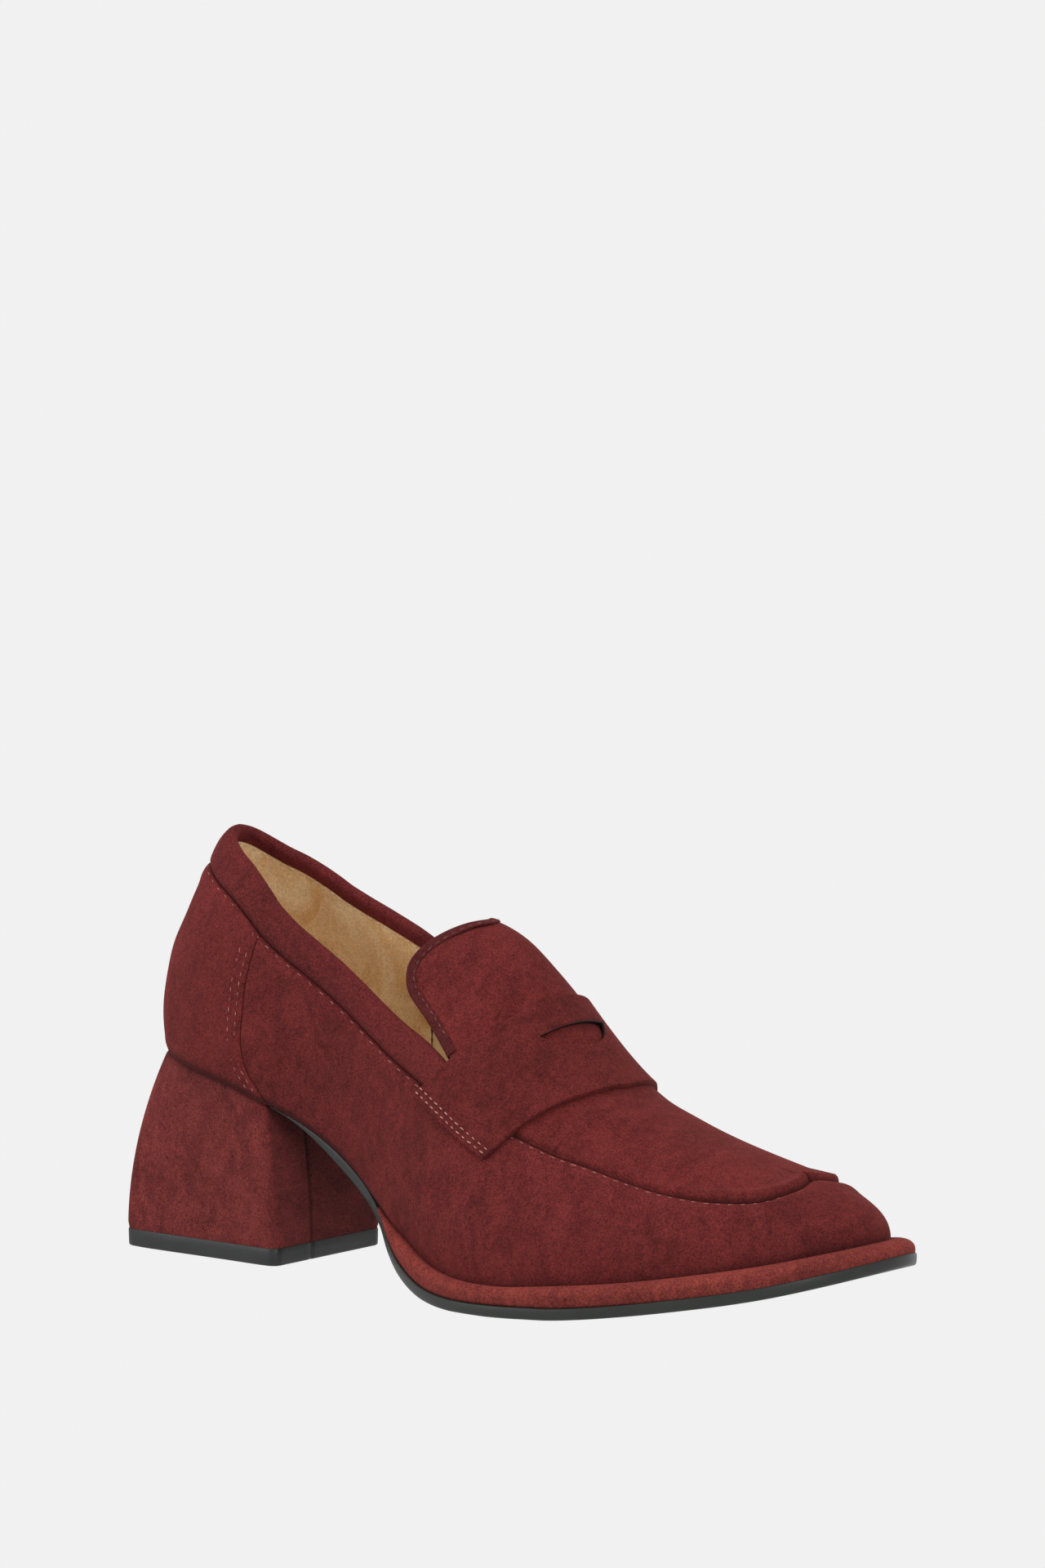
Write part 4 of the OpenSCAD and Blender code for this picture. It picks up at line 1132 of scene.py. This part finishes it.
# ---- stitches, by Geometry Nodes ----
def stitchTree():
    tree = bpy.data.node_groups.new("stitchRow", "GeometryNodeTree")
    tree.interface.new_socket("Path", in_out="INPUT", socket_type="NodeSocketGeometry")
    for name, value in (("Pitch", 0.003), ("Length", 0.002), ("Thread", 0.0005), ("Skew", 0.0)):
        tree.interface.new_socket(name, in_out="INPUT", socket_type="NodeSocketFloat").default_value = value
    tree.interface.new_socket("Seed", in_out="INPUT", socket_type="NodeSocketInt").default_value = 3
    tree.interface.new_socket("Finish", in_out="INPUT", socket_type="NodeSocketMaterial")
    tree.interface.new_socket("Stitches", in_out="OUTPUT", socket_type="NodeSocketGeometry")
    given = addNode(tree, "NodeGroupInput").outputs
    line = addNode(tree, "GeometryNodeMeshToCurve", links={0: given["Path"]})
    even = addNode(tree, "GeometryNodeResampleCurve", {"mode": "LENGTH"},
        {"Curve": line.outputs[0], "Length": given["Pitch"]})
    bead = addNode(tree, "GeometryNodeMeshUVSphere", {"Segments": 8, "Rings": 5, "Radius": 0.5})
    size = addNode(tree, "ShaderNodeCombineXYZ", links={"X": given["Length"], "Y": given["Thread"],
        "Z": given["Thread"]})
    shaped = addNode(tree, "GeometryNodeTransform",
        links={"Geometry": bead.outputs["Mesh"], "Scale": size.outputs[0]})
    tangent = addNode(tree, "GeometryNodeInputTangent")
    lay = addNode(tree, "FunctionNodeAlignRotationToVector", {"axis": "X"}, {"Vector": tangent.outputs[0]})
    upward = addNode(tree, "GeometryNodeInputNamedAttribute",
        {"data_type": "FLOAT_VECTOR", "Name": "surfaceNormal"})
    stand = addNode(tree, "FunctionNodeAlignRotationToVector", {"axis": "Z", "pivot_axis": "X"},
                    {"Rotation": lay.outputs[0], "Vector": upward.outputs[0]})
    chance = addNode(tree, "FunctionNodeRandomValue", {"data_type": "FLOAT"}, {"Seed": given["Seed"]})
    chance.inputs[2].default_value, chance.inputs[3].default_value = -0.14, 0.14
    angle = addNode(tree, "ShaderNodeMath", {"operation": "ADD"}, {0: chance.outputs[1], 1: given["Skew"]})
    spin = addNode(tree, "ShaderNodeCombineXYZ", links={"Z": angle.outputs[0]})
    turned = addNode(tree, "FunctionNodeRotateRotation", {"rotation_space": "LOCAL"},
                     {"Rotation": stand.outputs[0], "Rotate By": spin.outputs[0]})
    stretch = addNode(tree, "FunctionNodeRandomValue", {"data_type": "FLOAT"}, {"Seed": given["Seed"]})
    stretch.inputs[2].default_value, stretch.inputs[3].default_value = 0.8, 1.12
    put = addNode(tree, "GeometryNodeInstanceOnPoints", links={
        "Points": even.outputs[0], "Instance": shaped.outputs[0], "Rotation": turned.outputs[0],
        "Scale": stretch.outputs[1]})
    real = addNode(tree, "GeometryNodeRealizeInstances", links={0: put.outputs[0]})
    painted = addNode(tree, "GeometryNodeSetMaterial",
        links={"Geometry": real.outputs[0], "Material": given["Finish"]})
    addNode(tree, "NodeGroupOutput", links={0: painted.outputs[0]})
    return tree


stitchNodes = stitchTree()
socketOf = {
    item.name: item.identifier for item in stitchNodes.interface.items_tree if item.in_out == "INPUT"}


def stitchRows(name, rows, s):
    # rows are (points in mm, normals); every row becomes loose edges of one mesh
    points, normals, edges = [], [], []
    for p, n in rows:
        start = len(points)
        points += place(p).tolist()
        normals += n.tolist()
        edges += [[start + i, start + i + 1] for i in range(len(p) - 1)]
    mesh = bpy.data.meshes.new(name)
    mesh.from_pydata(points, edges, [])
    store = mesh.attributes.new("surfaceNormal", "FLOAT_VECTOR", "POINT")
    store.data.foreach_set("vector", np.array(normals, np.float32).ravel())
    piece = bpy.data.objects.new(name, mesh)
    bpy.context.scene.collection.objects.link(piece)
    maker = piece.modifiers.new("stitches", "NODES")
    maker.node_group = stitchNodes
    for key, value in (("Pitch", s["pitch"] / 1000), ("Length", s["length"] / 1000),
        ("Thread", s["thread"] / 1000),
                       ("Skew", s.get("skew", 0.0)), ("Seed", s.get("seed", 3)),
                           ("Finish", finishes[s["finish"]])):
        maker[socketOf[key]] = value
    bpy.context.view_layer.update()
    baked = bpy.data.meshes.new_from_object(piece.evaluated_get(bpy.context.evaluated_depsgraph_get()))
    piece.modifiers.clear()
    piece.data = baked
    baked.shade_smooth()
    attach(piece, "root")
    return piece


def onSurface(u, v, h, inside=False):
    n = outward(u, v)
    return off(u, v, h), -n if inside else n


stitchSets = {
    "collar": {"pitch": 4.6, "length": 1.9, "thread": 0.3, "finish": "roseThread", "seed": 5},
    "counter": {"pitch": 2.8, "length": 1.5, "thread": 0.32, "finish": "roseThread", "seed": 8},
    "apron": {"pitch": 3.4, "length": 1.9, "thread": 0.4, "finish": "roseThread", "seed": 2},
    "strap": {"pitch": 2.4, "length": 1.6, "thread": 0.42, "finish": "paleThread", "seed": 4},
    "tongue": {"pitch": 2.6, "length": 1.7, "thread": 0.42, "finish": "wineThread", "seed": 6},
    "liningSeam": {"pitch": 2.7, "length": 1.9, "thread": 0.55, "finish": "brownThread", "seed": 7},
    "liningTop": {"pitch": 2.9, "length": 2.2, "thread": 0.45, "finish": "tanThread", "seed": 9},
}
collarU = np.linspace(-5.3, 5.3, 260)
counterV = np.linspace(0.03, 0.425, 60)
apronU = np.concatenate([np.linspace(6.15, 9.6, 200)])
liningV = np.linspace(0.12, 0.475, 50)


def counterRow(side, shiftBack):
    u = (curve(counterLine, counterV) - shiftBack / rateU(curve(counterLine, counterV), counterV)) * side
    return onSurface(u, counterV, 0.44)


def strapRow(side, share):
    t = np.linspace(0.05, 0.97, 40)
    v = np.full_like(t, 0.395) + share / rateV(np.full_like(t, 5.7), np.full_like(t, 0.395))
    u = strapPoint(v, side, t)
    return onSurface(u, v, strapSet["gap"] + strapSet["thickness"] + 0.12)


def tongueRow():
    p, e, m = tongueFrame(1.2)
    return (p + (bindingSet["width"] - 0.75) * e + (bindingSet["skin"] + 0.08) * m)[6:-6], m[6:-6]


stitchRows("collar_stitches", [onSurface(collarU, seam(collarU) - 0.9 / rateV(collarU, seam(collarU)),
    -0.22)],
           stitchSets["collar"])
stitchRows("counter_stitches", [counterRow(side, d) for side in (1, -1) for d in (1.6, 4.4)],
    stitchSets["counter"])
stitchRows("apron_stitches", [
    onSurface(u, seam(u) - 1.1 / rateV(u, seam(u)), -0.12) for u in (apronU, around - apronU)],
        stitchSets["apron"])
stitchRows("strap_stitches", [strapRow(side, d) for side in (1, -1) for d in (1.5, 3.3)],
    stitchSets["strap"])
stitchRows("tongue_stitches", [tongueRow()], stitchSets["tongue"])
stitchRows("lining_seam_stitches", [
    onSurface(np.full_like(liningV, side * meet), liningV, inner4 - 0.05, True) for side in (1, -1)],
    stitchSets["liningSeam"])
liningTopU = np.linspace(-5.2, 5.2, 240)
stitchRows("lining_top_stitches", [onSurface(
    liningTopU, liningHigh(liningTopU) - 1.6 / rateV(liningTopU, liningHigh(liningTopU)), inner4 - 0.05,
        True)],
    stitchSets["liningTop"])
print("stage: stitches")

# ---- finishes of the solids that stay ----
inside = {
    "insole_board": "board", "heel_screw": "steel", "heel_nails": "steel", "sock_foam": "foam",
        "steel_shank": "steel",
    "bottom_filler": "cork", "platform_core": "wedge", "heel_core": "heelBlock",
        "top_piece_dowels": "steel",
    "collar_foam": "foam", "counter_stiffener": "interlining", "toe_puff": "interlining",
    "outer_side_interlining": "interlining", "inner_side_interlining": "interlining",
}
for node, key in inside.items():
    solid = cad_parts[node]
    solid.data.materials.clear()
    solid.data.materials.append(finishes[key])

# ---- studio ----
studio = {
    "backdrop": "#f1f1f1", "floorSize": 60, "under": "#6a6a6a", "level": "#cfcfcf", "above": "#b4b4b4",
    "turn": 52.6, "tilt": 5.91, "distance": 1.943, "aim": (125, 0, 50), "lens": 8553 / 1920 * 36,
    "aimRight": -2.8 / 8553, "aimUp": 392.1 / 8553,
}
turn, tilt = math.radians(studio["turn"]), math.radians(studio["tilt"])
sight = Vector((-math.cos(turn) * math.cos(tilt), math.sin(turn) * math.cos(tilt), -math.sin(tilt)))
toRight = Vector((math.sin(turn), math.cos(turn), 0))
toTop = toRight.cross(sight)
aim = Vector(((np.array(studio["aim"]) - shift) / 1000).tolist())
camera = bpy.data.objects.new("camera", bpy.data.cameras.new("camera"))
camera.location = aim - studio["distance"] * (sight - studio["aimRight"] * toRight - studio[
    "aimUp"] * toTop)
camera.rotation_euler = sight.to_track_quat("-Z", "Y").to_euler()
camera.data.lens = studio["lens"]
camera.data.sensor_width = 36
camera.data.clip_end = 200
bpy.context.scene.collection.objects.link(camera)
bpy.context.scene.camera = camera
bpy.context.scene.view_settings.view_transform = "Standard"


def floorPiece():
    mesh = bpy.data.meshes.new("studio_floor")
    half = studio["floorSize"]
    mesh.from_pydata([(-half, -half, -0.0002), (half, -half, -0.0002), (half, half, -0.0002),
        (-half, half, -0.0002)], [],
                     [(0, 1, 2, 3)])
    material = bpy.data.materials.new("paleStudioFloor")
    material.use_nodes = True
    tree = material.node_tree
    tree.nodes.clear()
    glow = addNode(tree, "ShaderNodeEmission", {"Color": toLinear(studio["backdrop"]), "Strength": 1.0})
    addNode(tree, "ShaderNodeOutputMaterial", links={"Surface": glow.outputs[0]})
    mesh.materials.append(material)
    floor = bpy.data.objects.new("studio_floor", mesh)
    floor.visible_diffuse = False
    bpy.context.scene.collection.objects.link(floor)


def worldLight():  # even backdrop for the eye, softer and graded light on the shoe
    world = bpy.data.worlds.new("studio")
    world.use_nodes = True
    tree = world.node_tree
    tree.nodes.clear()
    where = addNode(tree, "ShaderNodeTexCoord").outputs["Generated"]
    height = addNode(tree, "ShaderNodeSeparateXYZ", links={0: where}).outputs["Z"]
    lower = blendColour(tree, ramp(tree, height, -0.6, 0.1), studio["under"], studio["level"])
    graded = blendColour(tree, ramp(tree, height, 0.1, 0.9), lower, studio["above"])
    seen = addNode(tree, "ShaderNodeLightPath").outputs["Is Camera Ray"]
    colour = blendColour(tree, seen, graded, studio["backdrop"])
    glow = addNode(tree, "ShaderNodeBackground", {"Strength": 1.0}, {"Color": colour})
    addNode(tree, "ShaderNodeOutputWorld", links={"Surface": glow.outputs[0]})
    bpy.context.scene.world = world


def softbox(name, place, target, size, power):
    light = bpy.data.lights.new(name, "AREA")
    light.shape = "RECTANGLE"
    light.size, light.size_y = size
    light.energy = power
    lamp = bpy.data.objects.new(name, light)
    lamp.location = place
    lamp.rotation_euler = (Vector(target) - Vector(place)).to_track_quat("-Z", "Y").to_euler()
    bpy.context.scene.collection.objects.link(lamp)


floorPiece()
worldLight()
softbox("overhead_softbox", (0.1, -0.2, 1.5), (0, 0, 0), (1.2, 1.0), 7.5)
softbox("front_softbox", (1.5, -0.9, 0.7), (0, 0, 0.05), (0.9, 0.9), 9)
softbox("side_softbox", (-0.9, -1.4, 0.7), (0, 0, 0.05), (0.9, 0.9), 11)
print("stage: studio")
